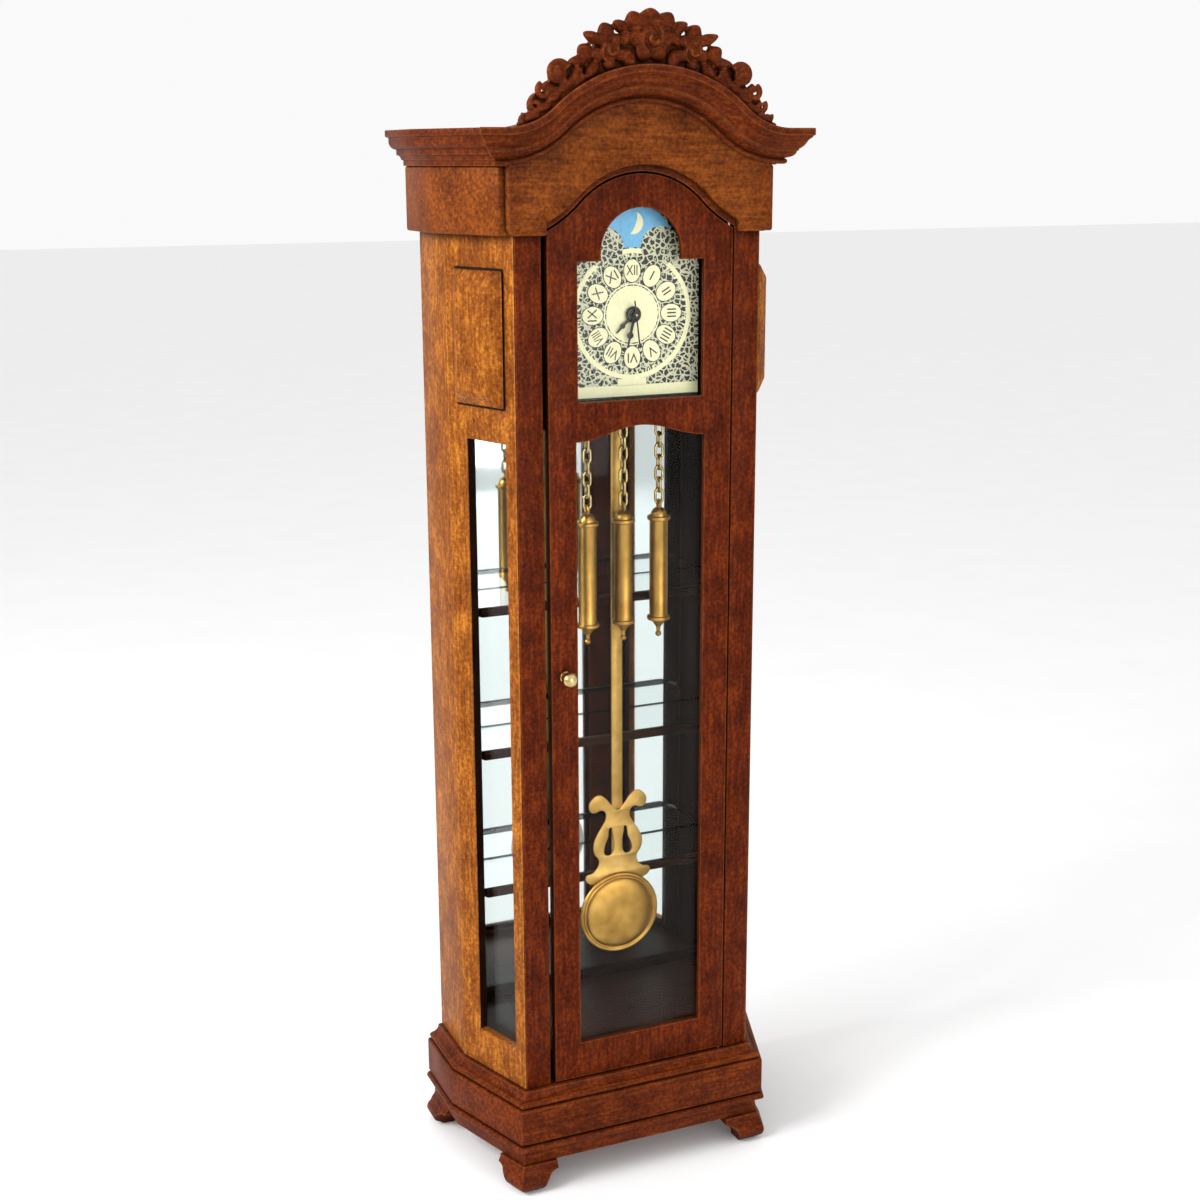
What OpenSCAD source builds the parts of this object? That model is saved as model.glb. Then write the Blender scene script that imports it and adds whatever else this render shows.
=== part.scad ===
// Doll's-house longcase clock with a glazed curio cabinet, at one twelfth of full size.
// Millimetres, +Z up. The origin is on the floor, under the middle of the whole outline.
// Modules that start with in_case() measure Y from the case's front plane, backwards.

/* [Case] */
// Width of the flat front between the two canted corners
front_w = 37; // [32:0.5:44]
// Width across the back of the case
rear_w = 46.8; // [42:0.2:56]
// Depth that the canted corners take up
cant_d = 14.1; // [10:0.1:18]
// Depth of the case from front plane to back
case_d = 25.4; // [22:0.2:32]
// Height of the case walls, from base moulding to cornice
wall_h = 134.4; // [110:0.2:162]
// Thickness of the case boards
wall_t = 1.6; // [1.2:0.1:2]

/* [Base] */
// Height of the four bracket feet
foot_h = 4.4; // [3:0.1:7]
// Height of the moulded skirt block
skirt_h = 3.8; // [3:0.1:6]
// Height of the plinth block
plinth_h = 5.7; // [4:0.1:9]
// Height of the stepped moulding on the plinth
base_moulding_h = 2.1; // [1.6:0.1:3]
// How far the plinth stands out from the case
plinth_out = 2.4; // [1.6:0.1:3.4]
// Length of each foot's wings
foot_w = 6.6; // [5:0.1:8]
// Thickness of each foot's wings
foot_t = 2.4; // [1.6:0.1:3]
// Height of the cabinet's floor block
floor_h = 4.5; // [3:0.1:5.5]

/* [Hood] */
// Height of the side blocks under the cornice
hood_h = 9; // [6:0.2:13]
// How far the side blocks stand out from the case
hood_out = 1.9; // [1.2:0.1:2.6]
// Thickness of the arched frieze board
frieze_t = 1.3; // [1:0.1:1.5]
// Width of the frieze board
frieze_w = 39.2; // [37.6:0.2:41]
// Height of the cornice
cornice_h = 4.9; // [3.6:0.1:6.5]
// How far the side cornice stands out from the case
cornice_out = 4.7; // [3.8:0.1:6]
// How far the front cornice stands out from the frieze
front_cornice_out = 3.3; // [2.4:0.1:4.4]
// Width of the front cornice from tip to tip
front_cornice_w = 49; // [46:0.5:54]
// Radius of the hood arch's crown, at the lower edge of its moulding
hood_crown_r = 17; // [15:0.5:20]
// Radius of the hood arch's two feet
hood_foot_r = 13.6; // [12:0.2:15]
// Height of the carved crest above the arch
crest_h = 7.2; // [5:0.2:10]
// Thickness of the carved crest
crest_t = 2.6; // [2:0.1:3.4]

/* [Side windows] */
// Width of the wood between the front corner and the side window
side_stile_w = 2.4; // [2:0.1:3.5]
// Width of the side windows
side_window_w = 8.5; // [6:0.1:9.5]
// Width of the raised panels over the side windows
panel_w = 10.3; // [8:0.1:11]
// Height of the raised panels
panel_h = 18.5; // [12:0.1:20]
// How far the raised panels stand out
panel_out = 1.8; // [1:0.1:2]

/* [Door] */
// Width of the opening between the stiles
opening_w = 29; // [26:0.2:30]
// Thickness of the door
door_t = 1.6; // [1.4:0.1:2]
// Gap at the knob side of the door
latch_gap = 0.8; // [0.4:0.05:1]
// Gap at the hinge side of the door
hinge_gap = 0.25; // [0.25:0.05:0.5]
// Gap over and under the door
door_gap = 0.3; // [0.2:0.05:0.6]
// Height of the door's shoulders above the case walls' foot
door_shoulder_z = 125.8; // [124:0.2:127]
// Width of the lower door window
window_w = 19.8; // [16:0.2:21]
// Foot of the door and side windows above the case walls' foot
window_z = 5.9; // [5:0.1:10]
// Height of the door and side windows at their sides
window_h = 91.3; // [80:0.1:93]
// Rise of the wave in the door window's head
window_rise = 1.9; // [0.5:0.1:2.2]
// Thickness of the clear panes
pane_t = 0.5; // [0.3:0.05:0.6]
// Radius of the hinge pins
pin_r = 0.25; // [0.2:0.01:0.28]
// Radius of the ball of the knob
knob_r = 1.15; // [0.8:0.05:1.6]

/* [Cabinet] */
// Thickness of the mirror
mirror_t = 0.8; // [0.5:0.1:1.2]
// Thickness of the clear shelves
shelf_t = 0.8; // [0.5:0.1:1.2]
// Height of the wooden bar in front of each shelf
shelf_bar_h = 1.3; // [1:0.1:2]
// Depth from the front plane to the shelf bars
shelf_y = 10.9; // [10.6:0.1:13]
// Height of the lowest shelf above the case walls' foot
first_shelf_z = 28.2; // [20:0.1:32]
// Distance from shelf to shelf
shelf_pitch = 21.9; // [18:0.1:24]
// Height of the seat board's underside above the case walls' foot
seat_z = 99; // [98.6:0.1:99.4]

/* [Dial] */
// Half the width of the opening in front of the dial
dial_half_w = 9.6; // [9:0.05:10]
// Height of the hands' centre above the case walls' foot
dial_z = 114.2; // [113.8:0.1:114.6]
// Length of the hour hand
hour_hand_l = 3.6; // [3:0.1:4.4]
// Length of the minute hand
minute_hand_l = 4.7; // [4:0.1:6]
// Length of the second hand
second_hand_l = 4.6; // [4:0.1:6]
// Radius of the arch over the dial
dial_arch_r = 6.1; // [5:0.1:6.8]
// Depth from the front plane to the dial's face
dial_y = 3.3; // [3.2:0.1:3.6]

/* [Pendulum and weights] */
// Radius of the pendulum's bob
bob_r = 6.5; // [5:0.1:7.5]
// Length from the pendulum's pin to the middle of the bob
pendulum_l = 75.6; // [66:0.2:80]
// Radius of each weight's shell
weight_r = 1.35; // [1:0.05:1.6]
// Length of each weight's shell
weight_l = 14.5; // [10:0.1:18]
// Distance between the weights
weight_gap = 5.7; // [5:0.1:6.4]
// Number of links in each chain
chain_links = 7; // [5:1:8]
// Radius of the chain's wire
wire_r = 0.2; // [0.15:0.01:0.22]

/* [Movement] */
// Width and height of the movement's case
movement_w = 27; // [26:0.5:29]
// Depth of the movement's case
movement_d = 6.2; // [6:0.1:7.5]

/* [Hidden] */

$fn = 48;
wood = [0.42, 0.17, 0.06];
wood_light = [0.60, 0.31, 0.14];
wood_dark = [0.20, 0.10, 0.06];
brass = [0.78, 0.60, 0.34];
steel = [0.75, 0.75, 0.76];
clear = [0.80, 0.90, 0.95, 0.35];

// Clearances
slip = 0.05;      // round a pin that turns in its bore
fit = 0.05;       // beside a board that drops in between two others
arch_gap = 1.15;  // over the door's arch, so that the open door clears the frieze
far = 60;         // longer than any cut or run

// Heights
skirt_z = foot_h;
plinth_z = skirt_z + skirt_h;
base_moulding_z = plinth_z + plinth_h;
case_z = base_moulding_z + base_moulding_h;
cornice_z = case_z + wall_h;
cornice_top_z = cornice_z + cornice_h;
floor_top_z = case_z + floor_h;
seat_t = 1.4;
seat_bottom_z = case_z + seat_z;
seat_top_z = seat_bottom_z + seat_t;
hand_z = case_z + dial_z;

// Plan of the case
front_depth = frieze_t + front_cornice_out;
front_y = (front_depth - case_d) / 2;
cant_angle = atan((rear_w - front_w) / 2 / cant_d);

// Corner of the plan between the front and a canted side, when the plan grows by out
function plan_front_x(out) = front_w / 2 + out * (1 - sin(cant_angle)) / cos(cant_angle);
// Corner of the plan between a canted side and the straight return behind it
function plan_rear_y(out) = cant_d - out * tan(cant_angle / 2);
// Half the width inside the walls at depth y, less a gap on each side
function half_in(y, gap) = min(
    front_w / 2 + y * tan(cant_angle) - (wall_t + gap) / cos(cant_angle),
    rear_w / 2 - wall_t - gap
);
// Right half of an outline that fills the case from depth y0 to depth y1
function half_inside(y0, y1, gap) = let (bend = plan_rear_y(-wall_t - gap)) concat(
    [[half_in(y0, gap), y0]],
    bend > y0 && bend < y1 ? [[half_in(bend, gap), bend]] : [],
    [[half_in(y1, gap), y1]]
);
function mirrored(points) = [for (i = [len(points) - 1 : -1 : 0]) [-points[i][0], points[i][1]]];
function inside(y0, y1, gap) = let (half = half_inside(y0, y1, gap)) concat(half, mirrored(half));
function reversed(points) = [for (i = [len(points) - 1 : -1 : 0]) points[i]];
// Points on an arc from angle a0 to a1
function arc(cx, cy, r, a0, a1, n) =
    [for (i = [0 : n]) let (a = a0 + (a1 - a0) * i / n) [cx + r * cos(a), cy + r * sin(a)]];

// An arch with a round crown and two feet that curve the other way, from right to left.
// low is the height of the feet's lowest point, span its distance from the middle,
// grow an even offset outwards, and x_end the place where the feet are cut off.
function arch(crown_r, foot_r, span, low, grow, x_end) = let (
    bend = asin(span / (crown_r + foot_r)),
    foot_z = low + foot_r,
    crown_z = foot_z - (crown_r + foot_r) * cos(bend),
    start = asin(max(0, span - x_end) / (foot_r - grow)),
    foot = arc(span, foot_z, foot_r - grow, 270 - start, 270 - bend, 8),
    crown = arc(0, crown_z, crown_r + grow, 90 - bend, 90 + bend, 24)
) concat(foot, [for (i = [1 : len(crown) - 2]) crown[i]], mirrored(foot));

// Hood arch, and the door's own arch
hood_span = front_cornice_w / 2 - 3.8;
hood_low = cornice_z + 1.1;
cornice_grow = cornice_h - 1.1;
function hood_arch(grow) = arch(hood_crown_r, hood_foot_r, hood_span, hood_low, grow, hood_span);
hood_apex_z = max([for (p = hood_arch(cornice_grow)) p[1]]);
door_w = opening_w - latch_gap - hinge_gap;
door_x = (latch_gap - hinge_gap) / 2;
door_z = case_z + door_gap;
door_crown_r = 12.5;
door_foot_r = 17.7;
door_span = 21.7;
door_arch_drop = 1.64; // the hollows' lowest line under the door's shoulders
door_low = case_z + door_shoulder_z - door_arch_drop;
function door_arch(grow, x_end) =
    arch(door_crown_r, door_foot_r, door_span, door_low, grow, x_end);

// Door furniture
pin_inset = 0.45;
pin_x = door_x + door_w / 2 - pin_inset;
pin_y = pin_inset;
pin_hold = 1.4;      // how far a pin goes into the case
pin_reach = 1.6;     // and into the door
pin_end_gap = 0.2;
pin_top_z = door_arch(0, door_w / 2 - pin_inset)[0][1];
pane_rebate = 0.8;
pane_margin = 0.7;
window_bottom_z = case_z + window_z;
window_top_z = window_bottom_z + window_h;
dial_opening_bottom_z = hand_z - 11.5;
dial_opening_top_z = hand_z + 7.6;
dial_arch_z = hand_z + 8.6;
knob_x = door_x - door_w / 2 + 2.1;
knob_z = case_z + 63.7;
knob_stem_r = 0.42;
knob_stem_l = 0.5;

// Cabinet
back_y = case_d - wall_t;
mirror_y = back_y - mirror_t;
rail_t = 0.8;
rail_h = 1.6;
bar_t = 0.9;
side_gap = pane_t + fit;
shelf_z = [for (i = [0 : 2]) case_z + first_shelf_z + i * shelf_pitch];
seat_gap = 0.3; // between the door or the stiles and the boards behind them
seat_front_y = max(door_t, wall_t) + seat_gap;
seat_back_y = 13.9;

// Dial and movement, from front to back
plate_t = 0.3;
dial_board_t = 1.2;
dial_board_y = dial_y + plate_t;
movement_y = dial_board_y + dial_board_t;
shell_t = 0.5;
inner_y = movement_y + shell_t;
cover_y = movement_y + movement_d - shell_t;
hand_t = 0.15;
hour_hand_y = dial_y - 0.55;
minute_hand_y = hour_hand_y - 0.4;
nut_t = 0.2;
second_hand_y = minute_hand_y - 0.6;
hour_angle = 226;
minute_angle = 193;
second_angle = 173;
access_w = 20;

// Pipes and arbors on the hands' axis, from the outside inwards
pipe_r = 0.8;
pipe_bore_r = 0.55;
cannon_r = 0.5;
cannon_bore_r = 0.2;
pivot_r = 0.15;
pivot_hold = 0.3;
pivot_end_gap = 0.05;
hole_r = 0.95;
stud_r = 0.3;
hub = [door_x, hand_z];

// Teeth of the motion work, which drives the hour hand from the minute hand
cannon_teeth = 12;
motion_teeth = 36;
motion_pinion_teeth = 10;
hour_teeth = 40;
setting_teeth = 12;
motion_module = 0.15;
hour_module = motion_module * (cannon_teeth + motion_teeth) / (motion_pinion_teeth + hour_teeth);
motion_turn = -45;
motion_reach = motion_module * (cannon_teeth + motion_teeth) / 2;
motion_at = motion_reach * [cos(motion_turn), sin(motion_turn)];
setting_at = motion_at + motion_module * (motion_teeth + setting_teeth) / 2
    * [cos(motion_turn), sin(motion_turn)];

// Teeth of the going train: rotor, intermediate wheel, second wheel, third wheel, centre wheel
centre_teeth = 64;
third_teeth = 60;
third_pinion_teeth = 8;
second_teeth = 60;
second_pinion_teeth = 8;
intermediate_teeth = 30;
intermediate_pinion_teeth = 10;
rotor_teeth = 6;
centre_module = 0.12; // keeps the rim clear of the intermediate wheel's arbor
second_module = 0.12;
rotor_module = 0.16;
third_turn = 20;
third_reach = centre_module * (centre_teeth + third_pinion_teeth) / 2;
third_module = 2 * third_reach / (third_teeth + second_pinion_teeth);
intermediate_turn = 110;
intermediate_reach = second_module * (second_teeth + intermediate_pinion_teeth) / 2;
rotor_turn = 100;
rotor_reach = rotor_module * (intermediate_teeth + rotor_teeth) / 2;
third_at = third_reach * [cos(third_turn), sin(third_turn)];
intermediate_at = intermediate_reach * [cos(intermediate_turn), sin(intermediate_turn)];
rotor_at = intermediate_at + rotor_reach * [cos(rotor_turn), sin(rotor_turn)];

// Depths of the wheels, from front to back
wheel_t = 0.25;
hour_wheel_y = inner_y + 0.15;
motion_wheel_y = hour_wheel_y + 0.6;
centre_wheel_y = motion_wheel_y + 0.65;
third_wheel_y = centre_wheel_y + 0.5;
second_wheel_y = third_wheel_y + 0.55;
intermediate_wheel_y = second_wheel_y + 0.55;
magnet_y = intermediate_wheel_y + wheel_t + 0.35;
magnet_r = 1;
magnet_l = 0.7;
stator_y = magnet_y + 0.15;
stator_t = 0.4;
stator_half_w = 7;
stator_foot_z = 5.2; // height of the stator's lower edge over the hands' centre
coil_z = 10.9;       // and of the coil's axis
coil_half_l = 4.2;
coil_r = 1.2;

// Cell and setting knob
battery_r = 3.4;
battery_t = 2.6;
battery_y = cover_y + shell_t - battery_t;
battery_at = -(movement_w / 2 - shell_t - battery_r - 0.9) * [1, 1];
setting_knob_r = 2.2;
setting_knob_t = 1.4;
setting_knob_y = cover_y + shell_t + 0.15;
setting_shaft_r = 0.4;
knurls = 18;

// Weights, chains and pendulum
hang_y = 6.4;
hang_z = seat_bottom_z - 0.9;
hang_pin_r = 0.15;
link_l = 2.5;
link_w = 1.5;
link_in = link_l - 4 * wire_r;
link_pitch = link_in - 0.04;
first_link_z = hang_z + hang_pin_r + slip - link_in / 2;
last_link_z = first_link_z - (chain_links - 1) * link_pitch;
eye_r = 0.55;
eye_z = last_link_z - link_in / 2 + wire_r + 0.02 - eye_r;
weight_top_z = eye_z - eye_r + 0.1;
pendulum_y = 8.72;
pendulum_pin_z = seat_bottom_z - 1.2;
pendulum_pin_r = 0.35;
rod_w = 1.75;
rod_t = 0.35;
lyre_t = 0.3;
bob_z = pendulum_pin_z - pendulum_l;
bob_t = 1.4;

// Moves a piece from the case's own frame to the part's frame.
module in_case() translate([0, front_y, 0]) children();

// Flat shape drawn as seen from the front, t thick, with its face at depth y.
module slab(y, t) translate([0, y + t, 0]) rotate([90, 0, 0]) linear_extrude(t) children();

// The same on an axis that runs from front to back through x, z.
module on_axis(at, y, t)
    translate([at[0], y + t, at[1]]) rotate([90, 0, 0]) linear_extrude(t) children();

// Works along the right canted side: x from the front corner backwards, y inwards.
module on_cant() translate([front_w / 2, 0, 0]) rotate([0, 0, 90 - cant_angle]) children();

// A block of the case's plan whose front and sides follow a profile of [out, z] points.
module moulded(profile) {
    sides = [
        [0, 0, -90],
        [front_w / 2, 0, -cant_angle],
        [rear_w / 2, cant_d, 0],
        [-front_w / 2, 0, 180 + cant_angle],
        [-rear_w / 2, cant_d, 180]
    ];
    last = len(profile) - 1;
    section = concat([[-far, profile[0][1]]], profile, [[-far, profile[last][1]]]);
    intersection() {
        intersection_for (side = sides)
            translate([side[0], side[1], 0])
                rotate([0, 0, side[2]])
                    rotate([90, 0, 0])
                        linear_extrude(4 * far, center = true) polygon(section);
        translate([-far, case_d - 2 * far, 0]) cube([2 * far, 2 * far, 4 * far]);
    }
}

// Upright board with the given plan, between two heights.
module board(points, z0, z1) translate([0, 0, z0]) linear_extrude(z1 - z0) polygon(points);

module on_the_left() mirror([1, 0, 0]) children();

// Base ---------------------------------------------------------------------------------

// A swelling lower part and a small cove above it
module foot_body() moulded(concat(
    [[plinth_out - 1.3, 0]],
    arc(plinth_out - 0.75, 0.4 * foot_h, 1.25, -75, 60, 8),
    arc(plinth_out + 0.2, foot_h, 1.1, 235, 180, 4)
));

// A bracket foot under the right front corner, its two wings scooped out underneath.
module corner_foot() color(wood) difference() {
    intersection() {
        foot_body();
        union() {
            translate([front_w / 2 - foot_w, -far, 0]) cube([far, far + foot_t, foot_h]);
            on_cant() translate([-far, -far, 0]) cube([far + foot_w, far + foot_t, foot_h]);
        }
        translate([front_w / 2 - foot_w, -far, 0]) cube([far, 2 * far, foot_h]);
    }
    translate([front_w / 2 - foot_w, -far, 0]) rotate([-90, 0, 0]) cylinder(r = 3.2, h = 2 * far);
    on_cant() translate([foot_w, -far, 0]) rotate([-90, 0, 0]) cylinder(r = 3.2, h = 2 * far);
}

module feet_front() in_case() {
    corner_foot();
    on_the_left() corner_foot();
}

// A bracket foot under the right rear corner.
module back_foot() difference() {
    intersection() {
        foot_body();
        union() {
            translate([rear_w / 2 - foot_t, case_d - foot_w, 0]) cube([far, foot_w, foot_h]);
            translate([rear_w / 2 - foot_w, case_d - foot_t, 0]) cube([far, foot_t, foot_h]);
        }
    }
    translate([0, case_d - foot_w, 0]) rotate([0, 90, 0]) cylinder(r = 3.2, h = far);
    translate([rear_w / 2 - foot_w, 0, 0]) rotate([-90, 0, 0]) cylinder(r = 3.2, h = far);
}

module feet_rear() in_case() color(wood) {
    back_foot();
    on_the_left() back_foot();
}

// Skirt block with a bead along its upper edge.
module skirt() in_case() color(wood) moulded(concat(
    [[plinth_out - 0.9, skirt_z]],
    [[plinth_out - 0.9, plinth_z - 1.3]],
    arc(plinth_out - 0.2, plinth_z - 0.75, 0.55, -90, 90, 8),
    [[plinth_out - 0.6, plinth_z - 0.2], [plinth_out - 0.6, plinth_z]]
));

// Plinth block with its edges eased.
module plinth() in_case() color(wood) moulded([
    [plinth_out - 0.2, plinth_z],
    [plinth_out, plinth_z + 0.2],
    [plinth_out, base_moulding_z - 0.2],
    [plinth_out - 0.2, base_moulding_z]
]);

// Bead and cove that lead from the plinth up to the case, bored for the lower door pin.
module base_moulding() in_case() color(wood) difference() {
    moulded(concat(
        [[plinth_out - 0.7, base_moulding_z]],
        arc(plinth_out - 0.75, base_moulding_z + 0.45, 0.4, -80, 90, 7),
        arc(plinth_out - 0.75, case_z - 0.1, base_moulding_h - 1.0, 270, 180, 7),
        [[0.35, case_z]]
    ));
    translate([pin_x, pin_y, case_z - pin_hold - pin_end_gap]) cylinder(r = pin_r + slip, h = far);
}

// Block that fills the foot of the cabinet, its top stained dark as the cabinet's floor.
module floor_block() in_case() color(wood_dark)
    board(inside(seat_front_y, back_y - fit, fit), case_z, floor_top_z);

// Case ---------------------------------------------------------------------------------

module stile() color(wood) board([
    [opening_w / 2, 0],
    [front_w / 2, 0],
    [plan_front_x(-wall_t), wall_t],
    [opening_w / 2, wall_t]
], case_z, cornice_z);

module stile_right() in_case() stile();
module stile_left() in_case() on_the_left() stile();

// Canted side board, mitred at both edges, with its tall window.
module side_frame() color(wood_light) difference() {
    board([
        [front_w / 2, 0],
        [rear_w / 2, cant_d],
        [rear_w / 2 - wall_t, plan_rear_y(-wall_t)],
        [plan_front_x(-wall_t), wall_t]
    ], case_z, cornice_z);
    on_cant() translate([side_stile_w, -1, window_bottom_z])
        cube([side_window_w, wall_t + 2, window_h]);
}

module side_frame_right() in_case() side_frame();
module side_frame_left() in_case() on_the_left() side_frame();

// Clear pane on the inner face of a canted side.
module side_pane() color(clear) on_cant()
    translate([side_stile_w - pane_margin, wall_t, window_bottom_z - pane_margin])
        cube([side_window_w + 2 * pane_margin, pane_t, window_h + 2 * pane_margin]);

module side_panes() in_case() {
    side_pane();
    on_the_left() side_pane();
}

// Raised and bevelled panel over a side window.
module side_panel() {
    edge = 0.5;
    bevel = 2;
    x0 = side_stile_w - 0.1;
    z0 = window_top_z + 5;
    on_cant() intersection() {
        translate([0, 0, z0]) linear_extrude(panel_h) polygon([
            [x0, 0],
            [x0, -edge],
            [x0 + bevel, -panel_out],
            [x0 + panel_w - bevel, -panel_out],
            [x0 + panel_w, -edge],
            [x0 + panel_w, 0]
        ]);
        translate([0, 0, z0]) rotate([90, 0, 90]) linear_extrude(far) polygon([
            [0, 0],
            [-edge, 0],
            [-panel_out, bevel],
            [-panel_out, panel_h - bevel],
            [-edge, panel_h],
            [0, panel_h]
        ]);
    }
}

module side_panels() in_case() color(wood_light) {
    side_panel();
    on_the_left() side_panel();
}

module return_board() board([
    [rear_w / 2, cant_d],
    [rear_w / 2, case_d],
    [rear_w / 2 - wall_t, case_d],
    [rear_w / 2 - wall_t, plan_rear_y(-wall_t)]
], case_z, cornice_z);

module return_boards() in_case() color(wood_light) {
    return_board();
    on_the_left() return_board();
}

// Back board, cut away behind the movement so that a hand can reach its knob and cell.
module back_board() in_case() color(wood_dark) {
    w = rear_w - 2 * wall_t;
    translate([0, back_y, 0]) difference() {
        translate([-w / 2, 0, case_z]) cube([w, wall_t, wall_h]);
        translate([door_x - access_w / 2, -1, hand_z - access_w / 2])
            cube([access_w, wall_t + 2, access_w]);
    }
}

module back_mirror() in_case() color("white")
    board(
        [for (p = [[-1, 0], [1, 0], [1, 1], [-1, 1]])
            [p[0] * (rear_w / 2 - wall_t - fit), mirror_y + p[1] * mirror_t]],
        floor_top_z, seat_bottom_z
    );

// Small rail that holds the mirror's foot.
module mirror_rail() in_case() color(wood_dark) {
    half_w = rear_w / 2 - wall_t - fit;
    translate([-half_w, mirror_y, floor_top_z]) rotate([90, 0, 90]) linear_extrude(2 * half_w)
        polygon([[0, 0], [-rail_t, 0], [-rail_t, rail_h - 0.5], [-rail_t + 0.5, rail_h], [0, rail_h]]);
}

module shelves() in_case() color(clear)
    for (z = shelf_z) board(inside(shelf_y + bar_t, mirror_y, side_gap), z - shelf_t, z);

module shelf_bars() in_case() color(wood)
    for (z = shelf_z) board(inside(shelf_y, shelf_y + bar_t, side_gap), z - shelf_bar_h, z);

// Board across the case that carries the dial, the chains and the pendulum.
module seat_board() in_case() color(wood_dark)
    board(inside(seat_front_y, seat_back_y, fit), seat_bottom_z, seat_top_z);

// Board over the door, cut to the door's arch and bored for the upper door pin.
module door_head() in_case() color(wood) difference() {
    slab(0, wall_t) difference() {
        translate([-opening_w / 2, cornice_z - 10]) square([opening_w, 10]);
        translate([door_x, 0]) polygon(concat(
            [[16, case_z], [16, cornice_z - 12]],
            door_arch(door_gap, 16),
            [[-16, cornice_z - 12], [-16, case_z]]
        ));
    }
    translate([pin_x, pin_y, case_z])
        cylinder(r = pin_r + slip, h = pin_top_z - case_z + pin_hold + pin_end_gap);
}

// Hood ---------------------------------------------------------------------------------

// Arched board in front of the case, its lower corners rounded.
module frieze() in_case() color(wood) slab(-frieze_t, frieze_t) difference() {
    corner_r = 1.2;
    intersection() {
        polygon(concat([[hood_span, hood_low - 12]], hood_arch(cornice_grow), [[-hood_span, hood_low - 12]]));
        union() {
            translate([-frieze_w / 2, cornice_z - hood_h + corner_r]) square([frieze_w, far]);
            translate([-frieze_w / 2 + corner_r, cornice_z - hood_h])
                square([frieze_w - 2 * corner_r, 2 * corner_r]);
            for (s = [-1, 1])
                translate([s * (frieze_w / 2 - corner_r), cornice_z - hood_h + corner_r])
                    circle(r = corner_r);
        }
    }
    translate([door_x, 0]) polygon(concat(
        [[door_w / 2 + 0.4, cornice_z - hood_h - 1]],
        door_arch(arch_gap, door_w / 2 + 0.4),
        [[-door_w / 2 - 0.4, cornice_z - hood_h - 1]]
    ));
}

// Block round the head of a canted side and its return.
module hood_block() {
    front_x = front_w / 2 + hood_out / cos(cant_angle);
    color(wood_light) board([
        [front_w / 2, 0],
        [front_x, 0],
        [rear_w / 2 + hood_out, plan_rear_y(hood_out)],
        [rear_w / 2 + hood_out, case_d],
        [rear_w / 2, case_d],
        [rear_w / 2, cant_d]
    ], cornice_z - hood_h, cornice_z);
}

module hood_blocks() in_case() {
    hood_block();
    on_the_left() hood_block();
}

// Stepped cornice over a canted side and its return.
module side_cornice() color(wood) difference() {
    ledge = 0.6;
    step = cornice_h / 5;
    inner_front_x = plan_front_x(-ledge);
    moulded(concat(
        [[hood_out + 0.2, cornice_z]],
        [[hood_out + 0.2, cornice_z + 0.8 * step]],
        arc(cornice_out - 1.6, cornice_z + 0.8 * step, 0.7, 180, 90, 4),
        arc(cornice_out - 1.6, cornice_z + 3.4 * step, 1.1, -90, 0, 6),
        [[cornice_out - 0.5, cornice_z + 3.9 * step]],
        [[cornice_out, cornice_z + 4.1 * step]],
        [[cornice_out, cornice_top_z]]
    ));
    translate([0, 0, cornice_z - 1]) linear_extrude(cornice_h + 2) polygon([
        [-inner_front_x, -far],
        [inner_front_x, -far],
        [inner_front_x, ledge],
        [rear_w / 2 - ledge, plan_rear_y(-ledge)],
        [rear_w / 2 - ledge, far],
        [-rear_w / 2 + ledge, far],
        [-rear_w / 2 + ledge, plan_rear_y(-ledge)],
        [-inner_front_x, ledge]
    ]);
    translate([-frieze_w / 2, -far, 0]) cube([frieze_w, far, 4 * far]);
    translate([-far, -far - frieze_t, 0]) cube([2 * far, far, 4 * far]);
    translate([-far, -far, 0]) cube([far, 2 * far, 4 * far]);
}

module side_cornices() in_case() {
    side_cornice();
    on_the_left() side_cornice();
}

// Moulding along the hood arch and the flats beside it, built up in steps of [grow, out].
module front_cornice() in_case() color(wood) {
    steps = [[-1.0, 0.12], [-0.4, 0.25], [0.4, 0.42], [1.0, 0.5], [1.7, 0.66], [2.3, 0.88], [2.8, 1]];
    top_z = hood_low + cornice_grow;
    for (step = steps) {
        out = step[1] * front_cornice_out;
        half_w = front_cornice_w / 2 - front_cornice_out + out;
        low_z = hood_low + step[0];
        slab(-frieze_t - out, out) polygon(concat(
            [[half_w, low_z]],
            hood_arch(step[0]),
            [[-half_w, low_z], [-half_w, top_z]],
            reversed(hood_arch(cornice_grow)),
            [[half_w, top_z]]
        ));
    }
}

// Dust board inside the cornice.
module top_board() in_case() color(wood_dark) {
    t = 1.2;
    board(inside(0, case_d, 0.65 - wall_t), cornice_z, cornice_z + t);
}

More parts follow.
